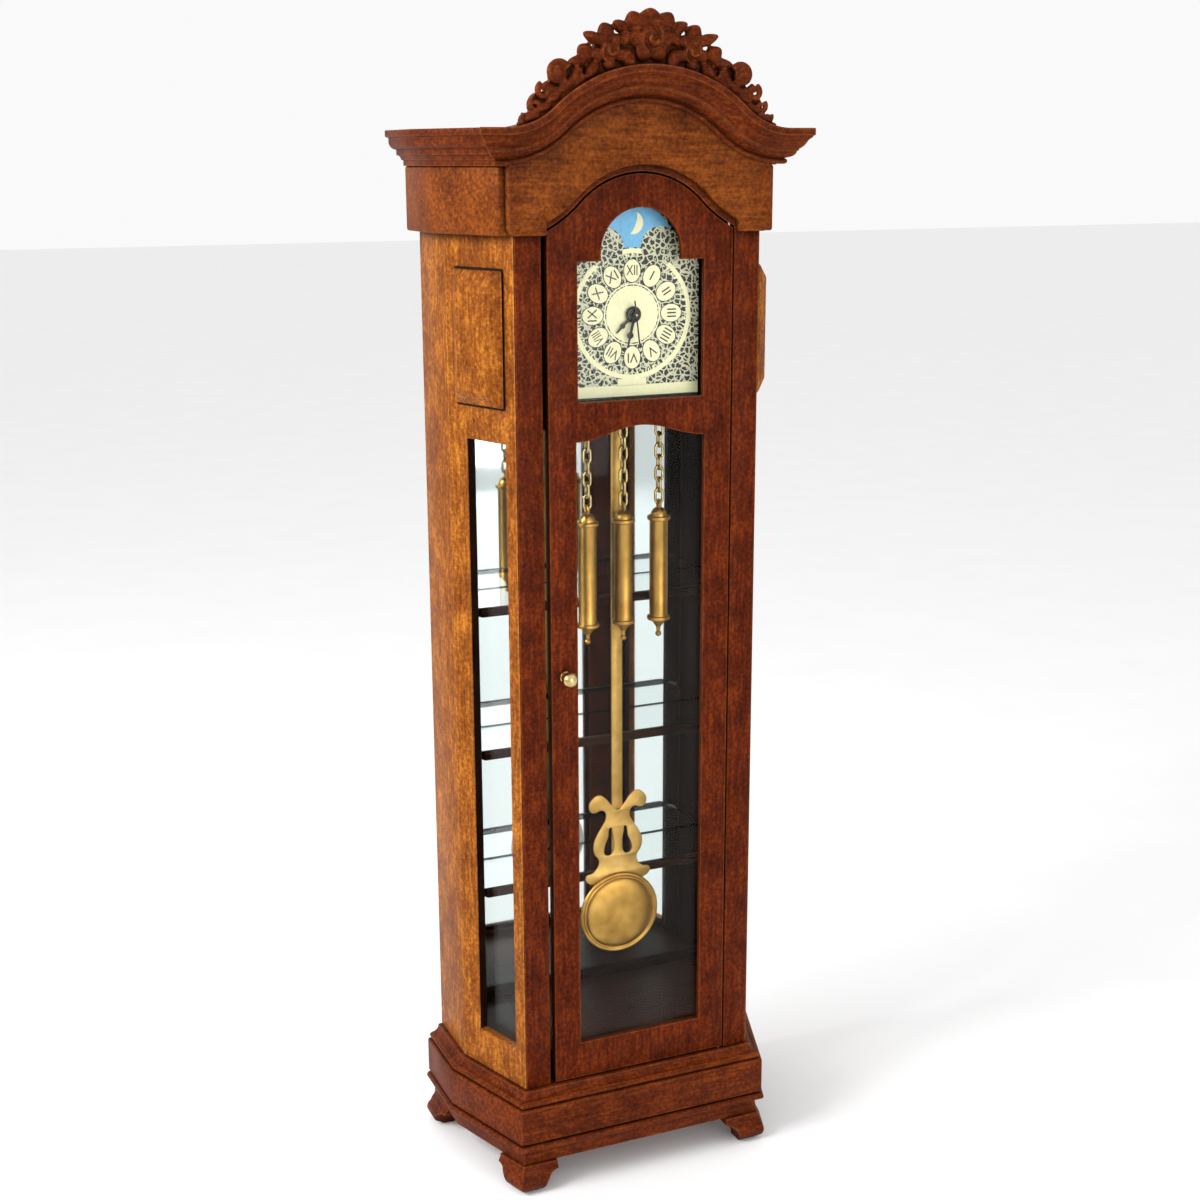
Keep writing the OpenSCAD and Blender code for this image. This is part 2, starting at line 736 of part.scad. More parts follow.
// Carved crest: leaves and scrolls on each side of a rose, standing on the cornice.
module crest() in_case() color(wood) slab(0.4 - front_depth, crest_t) difference() {
    s = crest_h / 7.2;
    top_z = hood_apex_z;
    union() {
        translate([0, top_z + 3.9 * s]) circle(r = 3.3 * s);
        for (side = [-1, 1]) {
            translate([side * 5.6, top_z + 1.9 * s]) circle(r = 3.1 * s);
            translate([side * 9.8, top_z - 1 * s]) circle(r = 2.7 * s);
            translate([side * 13.4, top_z - 0.7 * s]) circle(r = 1.6 * s);
            translate([side * 13.2, top_z - 3.4 * s]) circle(r = 2.6 * s);
            translate([side * 16.2, top_z - 5 * s]) circle(r = 1.9 * s);
            translate([side * 18.2, top_z - 7.2 * s]) circle(r = 1.2 * s);
        }
        polygon([
            [-18.6, cornice_z], [-18.6, top_z - 7], [-13, top_z - 2.5], [0, top_z + 4],
            [13, top_z - 2.5], [18.6, top_z - 7], [18.6, cornice_z]
        ]);
    }
    polygon(concat(
        [[far, cornice_z - far], [far, hood_low + cornice_grow]],
        hood_arch(cornice_grow),
        [[-far, hood_low + cornice_grow], [-far, cornice_z - far]]
    ));
}

// Door ---------------------------------------------------------------------------------

// The long window, or the rebate round it: a wave runs over its head.
module window_shape(grow) {
    half_w = window_w / 2 + grow;
    steps = 16;
    translate([door_x, 0]) polygon(concat(
        [[-half_w, window_bottom_z - grow], [half_w, window_bottom_z - grow]],
        [for (i = [steps : -1 : -steps]) [
            half_w * i / steps,
            window_top_z + grow + window_rise * pow(cos(90 * i / steps), 2)
        ]]
    ));
}

// The opening in front of the dial, or the rebate round it.
module dial_shape(grow) translate([door_x, 0]) {
    half_w = dial_half_w + grow;
    translate([-half_w, dial_opening_bottom_z - grow])
        square([2 * half_w, dial_opening_top_z - dial_opening_bottom_z + 2 * grow]);
    translate([0, dial_arch_z]) circle(r = dial_arch_r + grow);
}

module door_frame() in_case() color(wood) difference() {
    slab(0, door_t) translate([door_x, 0]) polygon(concat(
        [[door_w / 2, door_z]],
        door_arch(0, door_w / 2),
        [[-door_w / 2, door_z]]
    ));
    slab(-1, door_t + 2) window_shape(0);
    slab(-1, door_t + 2) dial_shape(0);
    slab(pane_rebate, door_t) window_shape(pane_margin);
    slab(pane_rebate, door_t) dial_shape(pane_margin);
    on_axis([knob_x, knob_z], -1, 1 + pane_rebate) circle(r = knob_stem_r);
    translate([pin_x, pin_y, door_z - 1]) cylinder(r = pin_r, h = pin_reach + 1);
    translate([pin_x, pin_y, pin_top_z - pin_reach]) cylinder(r = pin_r, h = far);
}

module door_pane() in_case() color(clear)
    slab(pane_rebate, pane_t) window_shape(pane_margin - fit);

module dial_pane() in_case() color(clear)
    slab(pane_rebate, pane_t) dial_shape(pane_margin - fit);

module door_knob() in_case() color(brass) {
    flange_t = 0.2;
    on_axis([knob_x, knob_z], -flange_t, flange_t) circle(r = 2 * knob_stem_r);
    on_axis([knob_x, knob_z], -knob_stem_l - knob_r, knob_stem_l + knob_r + pane_rebate)
        circle(r = knob_stem_r);
    translate([knob_x, -knob_stem_l - knob_r, knob_z]) sphere(r = knob_r);
}

// One pin at the door's foot and one at its top.
module hinge_pins() in_case() color(steel) translate([pin_x, pin_y, 0]) {
    translate([0, 0, case_z - pin_hold]) cylinder(r = pin_r, h = pin_hold + door_gap + pin_reach);
    translate([0, 0, pin_top_z - pin_reach]) cylinder(r = pin_r, h = pin_reach + pin_hold);
}

// Dial and hands -----------------------------------------------------------------------

module dial_board() in_case() color(wood_dark) slab(dial_board_y, dial_board_t) difference() {
    half_w = movement_w / 2;
    union() {
        translate([door_x - half_w, seat_top_z]) square([2 * half_w, dial_arch_z - seat_top_z]);
        translate([door_x, dial_arch_z]) circle(r = dial_arch_r + 1.6);
    }
    translate(hub) circle(r = hole_r);
}

module dial_plate() in_case() color([0.93, 0.90, 0.72]) slab(dial_y, plate_t) difference() {
    dial_shape(0.7);
    translate(hub) circle(r = hole_r);
}

// A hand that tapers to its tip, with a round swelling on the way.
module hand(length, turn, y, bore_r) on_axis(hub, y, hand_t) rotate([0, 0, -turn]) difference() {
    union() {
        circle(r = bore_r + 0.35);
        translate([0, 0.62 * length]) circle(r = 0.1 * length);
        polygon([[-0.25, 0], [0.25, 0], [0.1, length], [-0.1, length]]);
    }
    circle(r = bore_r);
}

module hour_hand() in_case() color("black")
    hand(hour_hand_l, hour_angle, hour_hand_y, pipe_r);

module minute_hand() in_case() color("black")
    hand(minute_hand_l, minute_angle, minute_hand_y, cannon_r);

// Thin hand with a tail, pressed on the second wheel's arbor.
module second_hand() in_case() color("black")
    on_axis(hub, second_hand_y, hand_t) rotate([0, 0, -second_angle]) difference() {
        tail_l = 2;
        union() {
            circle(r = pivot_r + 0.3);
            translate([-0.09, -tail_l]) square([0.18, tail_l + second_hand_l]);
        }
        circle(r = pivot_r);
    }

module hand_nut() in_case() color(brass) on_axis(hub, minute_hand_y - nut_t, nut_t) difference() {
    circle(r = cannon_r + 0.3);
    circle(r = cannon_r);
}

// Movement -----------------------------------------------------------------------------

// Outline of the movement's case, which stands on the seat board, less a wall.
module movement_outline(wall) translate([door_x - movement_w / 2 + wall, seat_top_z + wall])
    square([movement_w - 2 * wall, hand_z + movement_w / 2 - seat_top_z - 2 * wall]);

// Bores for the pivots of the three arbors that stand beside the hands' axis
module pivot_bores(y) for (at = [third_at, intermediate_at, rotor_at])
    on_axis(hub + at, y, pivot_hold + pivot_end_gap) circle(r = pivot_r + slip);

module movement_case() in_case() color([0.2, 0.2, 0.22]) {
    difference() {
        slab(movement_y, cover_y - movement_y) movement_outline(0);
        slab(inner_y, movement_d) movement_outline(shell_t);
        on_axis(hub, movement_y - 1, movement_d) circle(r = pipe_r + slip);
        pivot_bores(inner_y - pivot_hold - pivot_end_gap);
    }
    on_axis(hub + motion_at, inner_y, motion_wheel_y + wheel_t + 0.2 - inner_y)
        circle(r = stud_r);
    for (side = [-1, 1])
        on_axis(hub + [side * (stator_half_w - 1.2), coil_z], inner_y, stator_y - inner_y)
            circle(r = 0.8);
    difference() {
        on_axis(hub + battery_at, inner_y, cover_y - inner_y) circle(r = battery_r + fit + shell_t);
        on_axis(hub + battery_at, battery_y, battery_t) circle(r = battery_r + fit);
    }
}

module movement_cover() in_case() color([0.2, 0.2, 0.22]) difference() {
    slab(cover_y, shell_t) movement_outline(0);
    pivot_bores(cover_y);
    on_axis(hub, cover_y, pivot_hold + pivot_end_gap) circle(r = pivot_r + slip);
    on_axis(hub + setting_at, cover_y - 1, 2) circle(r = setting_shaft_r + slip);
    on_axis(hub + battery_at, cover_y - 1, 2) circle(r = battery_r + fit);
}

// Stator plate round the rotor, with the winding on its upper bar.
module coil() in_case() color([0.72, 0.38, 0.2]) {
    bar_h = 0.6; // half the height of the bar in the coil
    window_z = 8.4; // foot of the opening round the coil
    coil_gap = 0.3;
    rotor_gap = 0.35;
    deep = 1; // how far the cuts run past the stator's faces
    difference() {
        slab(stator_y, stator_t) translate(hub + [-stator_half_w, stator_foot_z])
            square([2 * stator_half_w, coil_z + bar_h - stator_foot_z]);
        slab(stator_y - deep, stator_t + 2 * deep)
            translate(hub + [-coil_half_l - coil_gap, window_z])
                square([2 * (coil_half_l + coil_gap), coil_z - bar_h - window_z]);
        on_axis(hub + rotor_at, stator_y - deep, stator_t + 2 * deep)
            circle(r = magnet_r + rotor_gap);
    }
    translate([door_x - coil_half_l, stator_y + stator_t / 2, hand_z + coil_z])
        rotate([0, 90, 0]) cylinder(r = coil_r, h = 2 * coil_half_l);
}

// Outline of a wheel with straight-sided teeth, one of them at angle turn.
module teeth(count, size, turn) {
    pitch = 360 / count;
    tooth = [[-0.30, -1.15], [-0.13, 0.9], [0.13, 0.9], [0.30, -1.15]];
    polygon([
        for (i = [0 : count - 1], p = tooth)
            let (a = turn + pitch * (i + p[0]), r = size * (count / 2 + p[1]))
                [r * cos(a), r * sin(a)]
    ]);
}

// Wheel on the axis at, whose teeth fall between those of a wheel that stands towards angle turn
module meshed(count, size, turn) teeth(count, size, turn + 180 + 180 / count);

// Arbor between the front wall and the cover.
module arbor(at) on_axis(hub + at, inner_y - pivot_hold, cover_y - inner_y + 2 * pivot_hold)
    circle(r = pivot_r);

module rotor() in_case() color("white") {
    arbor(rotor_at);
    on_axis(hub + rotor_at, intermediate_wheel_y - 0.1, magnet_y - intermediate_wheel_y + 0.1)
        meshed(rotor_teeth, rotor_module, rotor_turn);
    on_axis(hub + rotor_at, magnet_y, magnet_l) circle(r = magnet_r);
}

module intermediate_wheel() in_case() color("white") {
    arbor(intermediate_at);
    on_axis(hub + intermediate_at, second_wheel_y - 0.1, intermediate_wheel_y - second_wheel_y + 0.1)
        meshed(intermediate_pinion_teeth, second_module, intermediate_turn);
    on_axis(hub + intermediate_at, intermediate_wheel_y, wheel_t)
        teeth(intermediate_teeth, rotor_module, rotor_turn);
}

// Wheel whose arbor runs forward through the cannon pinion and carries the second hand.
module second_wheel() in_case() color(brass) {
    front_y = second_hand_y - 0.05;
    on_axis(hub, front_y, cover_y + pivot_hold - front_y) circle(r = pivot_r);
    on_axis(hub, third_wheel_y - 0.1, second_wheel_y - third_wheel_y + 0.1)
        teeth(second_pinion_teeth, third_module, third_turn);
    on_axis(hub, second_wheel_y, wheel_t) teeth(second_teeth, second_module, intermediate_turn);
}

module third_wheel() in_case() color("white") {
    arbor(third_at);
    on_axis(hub + third_at, centre_wheel_y - 0.1, third_wheel_y - centre_wheel_y + 0.1)
        meshed(third_pinion_teeth, centre_module, third_turn);
    on_axis(hub + third_at, third_wheel_y, wheel_t) meshed(third_teeth, third_module, third_turn);
}

// Wheel that slips round the cannon pinion while the hands are set.
module centre_wheel() in_case() color(brass) on_axis(hub, centre_wheel_y, wheel_t) difference() {
    teeth(centre_teeth, centre_module, third_turn);
    circle(r = cannon_r + slip);
}

// Pipe with a pinion near its rear end, which carries the minute hand.
module cannon_pinion() in_case() color(brass) difference() {
    front_y = minute_hand_y - nut_t;
    union() {
        on_axis(hub, front_y, centre_wheel_y + wheel_t + 0.1 - front_y) circle(r = cannon_r);
        on_axis(hub, motion_wheel_y - 0.1, 0.5) teeth(cannon_teeth, motion_module, motion_turn);
    }
    on_axis(hub, front_y - 1, movement_d + 4) circle(r = cannon_bore_r);
}

// Wheel and pinion that turn on a fixed stud, between the cannon pinion and the hour wheel.
module motion_wheel() in_case() color("white") difference() {
    union() {
        on_axis(hub + motion_at, motion_wheel_y, wheel_t)
            meshed(motion_teeth, motion_module, motion_turn);
        on_axis(hub + motion_at, hour_wheel_y - 0.05, motion_wheel_y - hour_wheel_y + 0.05)
            teeth(motion_pinion_teeth, hour_module, motion_turn + 180);
    }
    on_axis(hub + motion_at, inner_y, movement_d) circle(r = stud_r + slip);
}

// Hour wheel with the pipe that carries the hour hand.
module hour_wheel() in_case() color("white") difference() {
    union() {
        on_axis(hub, hour_wheel_y, wheel_t)
            teeth(hour_teeth, hour_module, motion_turn + 180 / hour_teeth);
        on_axis(hub, hour_hand_y, hour_wheel_y - hour_hand_y + wheel_t) circle(r = pipe_r);
    }
    on_axis(hub, hour_hand_y - 1, movement_d) circle(r = pipe_bore_r);
}

// Knob behind the cover, on a shaft whose pinion turns the motion wheel.
module setting_knob() in_case() color([0.2, 0.2, 0.22]) {
    on_axis(hub + setting_at, setting_knob_y, setting_knob_t) difference() {
        circle(r = setting_knob_r);
        for (i = [1 : knurls]) rotate([0, 0, 360 * i / knurls])
            translate([setting_knob_r + 0.1, 0]) circle(r = 0.25, $fn = 16);
    }
    on_axis(hub + setting_at, motion_wheel_y - 0.1, setting_knob_y - motion_wheel_y + 0.1)
        circle(r = setting_shaft_r);
    on_axis(hub + setting_at, motion_wheel_y - 0.1, 0.5)
        teeth(setting_teeth, motion_module, motion_turn + 180);
}

module battery() in_case() color(steel) on_axis(hub + battery_at, battery_y, battery_t)
    circle(r = battery_r);

// Weights and chains -------------------------------------------------------------------

weight_x = [for (i = [-1 : 1]) door_x + i * weight_gap];

// Pins under the seat board: three for the chains and a thicker one for the pendulum.
module hanging_pins() in_case() color(brass) {
    stem_r = 0.4;
    for (x = weight_x) {
        translate([x, hang_y + 1.2, hang_z - hang_pin_r])
            cylinder(r = stem_r, h = seat_bottom_z - hang_z + hang_pin_r);
        on_axis([x, hang_z], hang_y - 0.6, 1.8) circle(r = hang_pin_r);
    }
    translate([door_x, pendulum_y + 1.5, pendulum_pin_z - pendulum_pin_r])
        cylinder(r = 2 * stem_r, h = seat_bottom_z - pendulum_pin_z + pendulum_pin_r);
    on_axis([door_x, pendulum_pin_z], pendulum_y - 0.3, 1.8) circle(r = pendulum_pin_r);
    on_axis([door_x, pendulum_pin_z], pendulum_y - 0.5, 0.2) circle(r = pendulum_pin_r + 0.25);
}

// One link of round wire, upright in the XZ plane.
module link() {
    bend_r = link_w / 2 - wire_r;
    straight = link_l - link_w;
    for (turn = [0, 180]) rotate([0, turn, 0]) {
        translate([0, 0, straight / 2]) rotate([90, 0, 0])
            rotate_extrude(angle = 180, $fn = 32) translate([bend_r, 0]) circle(r = wire_r, $fn = 16);
        translate([bend_r, 0, -straight / 2]) cylinder(r = wire_r, h = straight, $fn = 16);
    }
}

module chain(x) in_case() color(brass)
    for (i = [0 : chain_links - 1])
        translate([x, hang_y, first_link_z - i * link_pitch]) rotate([0, 0, 90 * (i % 2)]) link();

module chain_left() chain(weight_x[0]);
module chain_middle() chain(weight_x[1]);
module chain_right() chain(weight_x[2]);

// Brass weight: domed cap with an eye, a collar at each end of its shell, and a turned tip.
module weight(x) in_case() color(brass) translate([x, hang_y, 0]) {
    dome_r = 1.2;
    collar_r = weight_r + 0.35;
    collar_h = 0.6;
    upper_z = weight_top_z - dome_r - 0.1;
    shell_top_z = upper_z - collar_h;
    shell_foot_z = shell_top_z - weight_l;
    lower_z = shell_foot_z - collar_h;
    rotate_extrude() polygon(concat(
        [[0, weight_top_z]],
        [for (p = arc(0, upper_z + 0.1, dome_r, 75, 0, 6)) p],
        [[dome_r, upper_z], [collar_r - 0.1, upper_z], [collar_r, upper_z - 0.1]],
        [[collar_r, shell_top_z + 0.1], [collar_r - 0.1, shell_top_z], [weight_r, shell_top_z]],
        [[weight_r, shell_foot_z], [collar_r - 0.1, shell_foot_z], [collar_r, shell_foot_z - 0.1]],
        [[collar_r, lower_z + 0.1], [collar_r - 0.1, lower_z], [1.1, lower_z]],
        arc(1.25, lower_z - 1.5, 0.95, 130, 190, 5),
        arc(0, lower_z - 2.2, 0.45, 60, -90, 6)
    ));
    translate([0, 0, eye_z]) rotate([0, 90, 0]) rotate_extrude($fn = 32)
        translate([eye_r, 0]) circle(r = wire_r, $fn = 16);
}

module weight_left() weight(weight_x[0]);
module weight_middle() weight(weight_x[1]);
module weight_right() weight(weight_x[2]);

// Pendulum -----------------------------------------------------------------------------

module pendulum_rod() in_case() color(brass) slab(pendulum_y, rod_t) difference() {
    union() {
        translate([door_x, pendulum_pin_z]) circle(r = rod_w / 2);
        translate([door_x - rod_w / 2, bob_z]) square([rod_w, pendulum_l]);
    }
    translate([door_x, pendulum_pin_z]) circle(r = pendulum_pin_r + slip);
}

// Half the lyre's width at height z over the bob's centre: a flare, a bulge and a waist.
function swing(z, z0, w0, z1, w1) = w0 + (w1 - w0) * (1 - cos(180 * (z - z0) / (z1 - z0))) / 2;
function lyre_half(z) =
    z < 8.6 ? swing(z, 6.2, 5.4, 8.6, 3.3) :
    z < 11.8 ? swing(z, 8.6, 3.3, 11.8, 4.1) :
    swing(z, 11.8, 4.1, 16.8, 1.5);

module pendulum_lyre() in_case() color(brass) slab(pendulum_y - lyre_t, lyre_t)
    translate([door_x, bob_z]) difference() {
        heights = [for (i = [0 : 24]) 4.4 + 0.6 * i];
        union() {
            polygon(concat(
                [for (z = heights) [lyre_half(max(z, 6.2)), z]],
                [for (i = [24 : -1 : 0]) [-lyre_half(max(heights[i], 6.2)), heights[i]]]
            ));
            for (side = [-1, 1]) translate([side * 2.4, 18]) circle(r = 1.5);
            translate([-2, 16]) square([4, 1.8]);
        }
        for (side = [-1, 1]) {
            translate([side * 2.3, 13.6]) circle(r = 0.45);
            translate([side * 2.3 - 0.45, 10.9]) square([0.9, 2.7]);
            translate([side * 2.3, 10.9]) circle(r = 0.45);
        }
    }

// Domed bob with a rolled rim.
module pendulum_bob() in_case() color(brass)
    translate([door_x, pendulum_y - lyre_t, bob_z]) rotate([90, 0, 0]) rotate_extrude($fn = 64)
        polygon(concat(
            [[0, 0], [bob_r - 0.3, 0]],
            arc(bob_r - 0.5, 0.5, 0.5, -60, 110, 8),
            [for (i = [5 : -1 : 0]) let (r = (bob_r - 0.8) * i / 5)
                [r, bob_t - (bob_t - 0.7) * pow(r / (bob_r - 0.8), 2)]]
        ));

feet_front();
feet_rear();
skirt();
plinth();
base_moulding();
floor_block();
stile_left();
stile_right();
side_frame_left();
side_frame_right();
side_panes();
side_panels();
return_boards();
back_board();
back_mirror();
mirror_rail();
shelves();
shelf_bars();
seat_board();
door_head();
frieze();
hood_blocks();
side_cornices();
front_cornice();
top_board();
crest();
door_frame();
door_pane();
dial_pane();
door_knob();
hinge_pins();
dial_board();
dial_plate();
hour_hand();
minute_hand();
second_hand();
hand_nut();
movement_case();
movement_cover();
coil();
rotor();
intermediate_wheel();
second_wheel();
third_wheel();
centre_wheel();
cannon_pinion();
motion_wheel();
hour_wheel();
setting_knob();
battery();
hanging_pins();
chain_left();
chain_middle();
chain_right();
weight_left();
weight_middle();
weight_right();
pendulum_rod();
pendulum_lyre();
pendulum_bob();
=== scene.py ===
import math
import bpy
from mathutils import Matrix, Quaternion, Vector


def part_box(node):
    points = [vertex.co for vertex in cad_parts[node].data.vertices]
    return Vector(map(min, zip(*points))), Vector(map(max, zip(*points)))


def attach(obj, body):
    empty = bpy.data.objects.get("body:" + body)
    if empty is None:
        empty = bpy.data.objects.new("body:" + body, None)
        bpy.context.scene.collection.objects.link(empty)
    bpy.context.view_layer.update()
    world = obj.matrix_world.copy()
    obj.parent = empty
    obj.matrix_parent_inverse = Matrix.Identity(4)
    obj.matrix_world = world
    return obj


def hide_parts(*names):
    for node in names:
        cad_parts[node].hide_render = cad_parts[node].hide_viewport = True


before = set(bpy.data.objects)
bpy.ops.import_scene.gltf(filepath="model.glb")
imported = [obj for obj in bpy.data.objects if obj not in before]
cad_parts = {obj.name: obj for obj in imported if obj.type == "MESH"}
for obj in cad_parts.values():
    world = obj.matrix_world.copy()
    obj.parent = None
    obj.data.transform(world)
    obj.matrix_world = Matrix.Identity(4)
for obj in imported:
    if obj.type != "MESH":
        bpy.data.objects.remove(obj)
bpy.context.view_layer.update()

MM = 0.001
scene = bpy.context.scene
bpy.ops.object.select_all(action="DESELECT")


# Studio. A pale floor, a white surround, and one large soft lamp at the left of the camera,
# with a small one low on the right. The clock is a miniature, so the camera stands close.
def hex_colour(text):
    """Linear colour of an sRGB hex value."""
    channels = [int(text[i:i + 2], 16) / 255 for i in (1, 3, 5)]
    return tuple(c / 12.92 if c < 0.04045 else ((c + 0.055) / 1.055) ** 2.4 for c in channels) + (1,)


def add_node(tree, kind, settings=None, links=None):
    """Adds a node; settings are attributes or socket values, links are sockets to join to it."""
    made = tree.nodes.new(kind)
    for key, value in (settings or {}).items():
        if isinstance(key, str) and hasattr(made, key):
            setattr(made, key, value)
        else:
            made.inputs[key].default_value = value
    for key, socket in (links or {}).items():
        tree.links.new(socket, made.inputs[key])
    return made


def new_material(name):
    """An empty material with its output node, as (material, tree, output)."""
    material = bpy.data.materials.new(name)
    material.use_nodes = True
    tree = material.node_tree
    tree.nodes.clear()
    return material, tree, add_node(tree, "ShaderNodeOutputMaterial")


def painted(piece, material):
    """Gives a piece one material."""
    piece.data.materials.clear()
    piece.data.materials.append(material)
    return piece


def two_tone(tree, dark, light, share):
    """A colour between two linear ones, by a share from 0 to 1."""
    return add_node(tree, "ShaderNodeMix", {"data_type": "RGBA", 6: dark, 7: light}, {0: share}).outputs[2]


def join_shader(tree, output, settings, links):
    """Adds the shader that ends a material."""
    shader = add_node(tree, "ShaderNodeBsdfPrincipled", settings, links)
    tree.links.new(shader.outputs[0], output.inputs["Surface"])


scene.view_settings.view_transform = "Standard"
world = bpy.data.worlds.new("surround")
world.use_nodes = True
world.node_tree.nodes["Background"].inputs["Color"].default_value = (1, 1, 1, 1)
world.node_tree.nodes["Background"].inputs["Strength"].default_value = 0.95
scene.world = world

floor_white, tree, output = new_material("floor_paper")
speck = add_node(tree, "ShaderNodeTexNoise", {"Scale": 300}).outputs["Fac"]
tone = two_tone(tree, (0.86, 0.86, 0.86, 1), (0.90, 0.90, 0.90, 1), speck)
join_shader(tree, output, {"Roughness": 0.8}, {"Base Color": tone})
bpy.ops.mesh.primitive_plane_add(size=6)
floor = painted(bpy.context.object, floor_white)
floor.name = "floor"


def soft_lamp(name, place, target, size, watts):
    """A square area lamp that faces the target."""
    bpy.ops.object.light_add(type="AREA", location=place)
    lamp = bpy.context.object
    lamp.name = name
    lamp.data.size = size
    lamp.data.energy = watts
    lamp.rotation_euler = (Vector(target) - Vector(place)).to_track_quat("-Z", "Y").to_euler()


soft_lamp("key_lamp", (-0.30, -0.04, 0.27), (0, 0, 0.12), 0.16, 1.25)
soft_lamp("fill_lamp", (0.06, -0.50, 0.16), (0, 0, 0.08), 0.30, 0.7)

bpy.ops.object.camera_add(location=(-0.1022, -0.2337, 0.1516))
camera = bpy.context.object
heading = Quaternion((0, 0, 1), math.radians(-23.27))
tilt = Quaternion((1, 0, 0), math.radians(90 - 14.12))
roll = Quaternion((0, 0, 1), math.radians(-0.24))
camera.rotation_mode = "QUATERNION"
camera.rotation_quaternion = heading @ tilt @ roll
camera.data.lens = 52.9
camera.data.sensor_width = 36
camera.data.clip_start = 0.005
camera.data.dof.use_dof = False
scene.camera = camera
bpy.ops.object.select_all(action="DESELECT")


# Case boards and mouldings. Basswood, sanded by hand so that no edge is sharp, and stained red
# brown on the front and the mouldings; golden brown on the canted sides, partly stain, partly painted light.
def object_place(tree):
    """Where a point lies on the clock, in metres."""
    return add_node(tree, "ShaderNodeTexCoord").outputs["Object"]


def noise(tree, place, scale, detail, rough=0.5):
    """Cloudy noise from 0 to 1, with so many marks to each unit of the place."""
    return add_node(tree, "ShaderNodeTexNoise", {"Scale": scale, "Detail": detail, "Roughness": rough},
                    {"Vector": place}).outputs["Fac"]


def spread(tree, value, low, high, start=0.0, end=1.0):
    """Turns a value that runs from start to end into one that runs from low to high."""
    return add_node(tree, "ShaderNodeMapRange",
                    {"From Min": start, "From Max": end, "To Min": low, "To Max": high},
                    {"Value": value}).outputs[0]


def bumped(tree, height, strength, deep):
    """The surface's normal, roughened by a height."""
    return add_node(tree, "ShaderNodeBump", {"Strength": strength, "Distance": deep},
                    {"Height": height}).outputs[0]


def stained_basswood(name, deep, middle, warm, worn, grain, gloss=0.42, lift=0.3):
    """Basswood under thin brown stain: it takes the stain unevenly, in specks and long streaks,
    carries painted shade in its corners, and shows pale where an edge was rubbed."""
    material, tree, output = new_material(name)
    to_mm = add_node(tree, "ShaderNodeMapping", {"Scale": (1000, 1000, 1000)},
                     {"Vector": object_place(tree)}).outputs[0]
    along = add_node(tree, "ShaderNodeMapping", {"Scale": grain}, {"Vector": to_mm}).outputs[0]
    # clouds of stain about 5 mm across, then streaks with the grain and specks, half a millimetre across
    cloud = noise(tree, to_mm, 0.2, 3, 0.6)
    streak = noise(tree, along, 2.0, 3, 0.65)
    speck = noise(tree, to_mm, 1.9, 4, 0.7)
    stain = add_node(tree, "ShaderNodeMix", {"data_type": "FLOAT", 0: 0.55}, {2: cloud, 3: streak}).outputs[0]
    mixed = add_node(tree, "ShaderNodeMix", {"data_type": "FLOAT", 0: 0.42}, {2: stain, 3: speck}).outputs[0]
    ramp = add_node(tree, "ShaderNodeValToRGB", {}, {"Fac": mixed})
    ramp.color_ramp.elements[0].position = 0.36
    ramp.color_ramp.elements[0].color = hex_colour(deep)
    ramp.color_ramp.elements[1].position = 0.64
    ramp.color_ramp.elements[1].color = hex_colour(warm)
    ramp.color_ramp.elements.new(0.5).color = hex_colour(middle)
    # rubbed edges: where the rounded normal leaves the true one
    round_normal = add_node(tree, "ShaderNodeBevel", {"samples": 4, "Radius": 0.35 * MM}).outputs[0]
    true_normal = add_node(tree, "ShaderNodeNewGeometry").outputs["Normal"]
    turn = add_node(tree, "ShaderNodeVectorMath", {"operation": "DOT_PRODUCT"},
                    {0: round_normal, 1: true_normal}).outputs["Value"]
    edge = spread(tree, turn, 0, 0.55, 0.995, 0.90)
    rubbed = add_node(tree, "ShaderNodeMath", {"operation": "MULTIPLY"}, {0: edge, 1: speck}).outputs[0]
    coloured = add_node(tree, "ShaderNodeMix", {"data_type": "RGBA", 7: hex_colour(worn)},
                        {0: rubbed, 6: ramp.outputs["Color"]}).outputs[2]
    # painted shade: near-black in corners, within about 1.5 mm of the next surface, by ambient occlusion
    hollow = add_node(tree, "ShaderNodeAmbientOcclusion", {"samples": 6, "Distance": 1.5 * MM}).outputs["AO"]
    painted_corner_shade = spread(tree, hollow, 0.8, 0, 0.25, 0.95)
    colour = add_node(tree, "ShaderNodeMix", {"data_type": "RGBA", 7: hex_colour("#1c0904")},
                      {0: painted_corner_shade, 6: coloured}).outputs[2]
    rough = spread(tree, streak, gloss - 0.07, gloss + 0.12)
    join_shader(tree, output, {"Specular IOR Level": 0.05, "IOR": 1.5},
                {"Base Color": colour, "Roughness": rough, "Normal": bumped(tree, mixed, lift, 0.03 * MM)})
    return material


upright = (1, 1, 0.12)
crosswise = (0.12, 1, 1)
front_wood = stained_basswood("stained_basswood_front", "#2c0a02", "#511b05", "#78310c", "#a8602c", upright)
rail_wood = stained_basswood("stained_basswood_rails", "#2e0d04", "#552008", "#7c3710", "#b06a34", crosswise)
# the sides' golden brown is partly a lighter stain and partly painted light from the lamp at the left
side_wood_stain_and_painted_light = stained_basswood("basswood_sides_stain_and_painted_light", "#4a1e06", "#7d4313", "#b87326", "#d69a52", upright)
hood_wood = stained_basswood("stained_basswood_hood", "#3c1404", "#66300c", "#8e4a16", "#b87838", crosswise)
# near-black wood for the inside of the case: painted shade
inner_painted_shade_wood = stained_basswood("painted_shade_dark_basswood", "#0c0503", "#1a0d07", "#2c170d", "#3a2416", upright)
floor_wood = stained_basswood("floor_basswood", "#140905", "#26130b", "#3c2012", "#4a2c1a", crosswise,
                              gloss=0.28, lift=0.03)
crease = math.radians(34)  # edges sharper than this stay crisp


def take_up(piece):
    """Makes one piece the selected and the active one."""
    bpy.ops.object.select_all(action="DESELECT")
    piece.select_set(True)
    bpy.context.view_layer.objects.active = piece


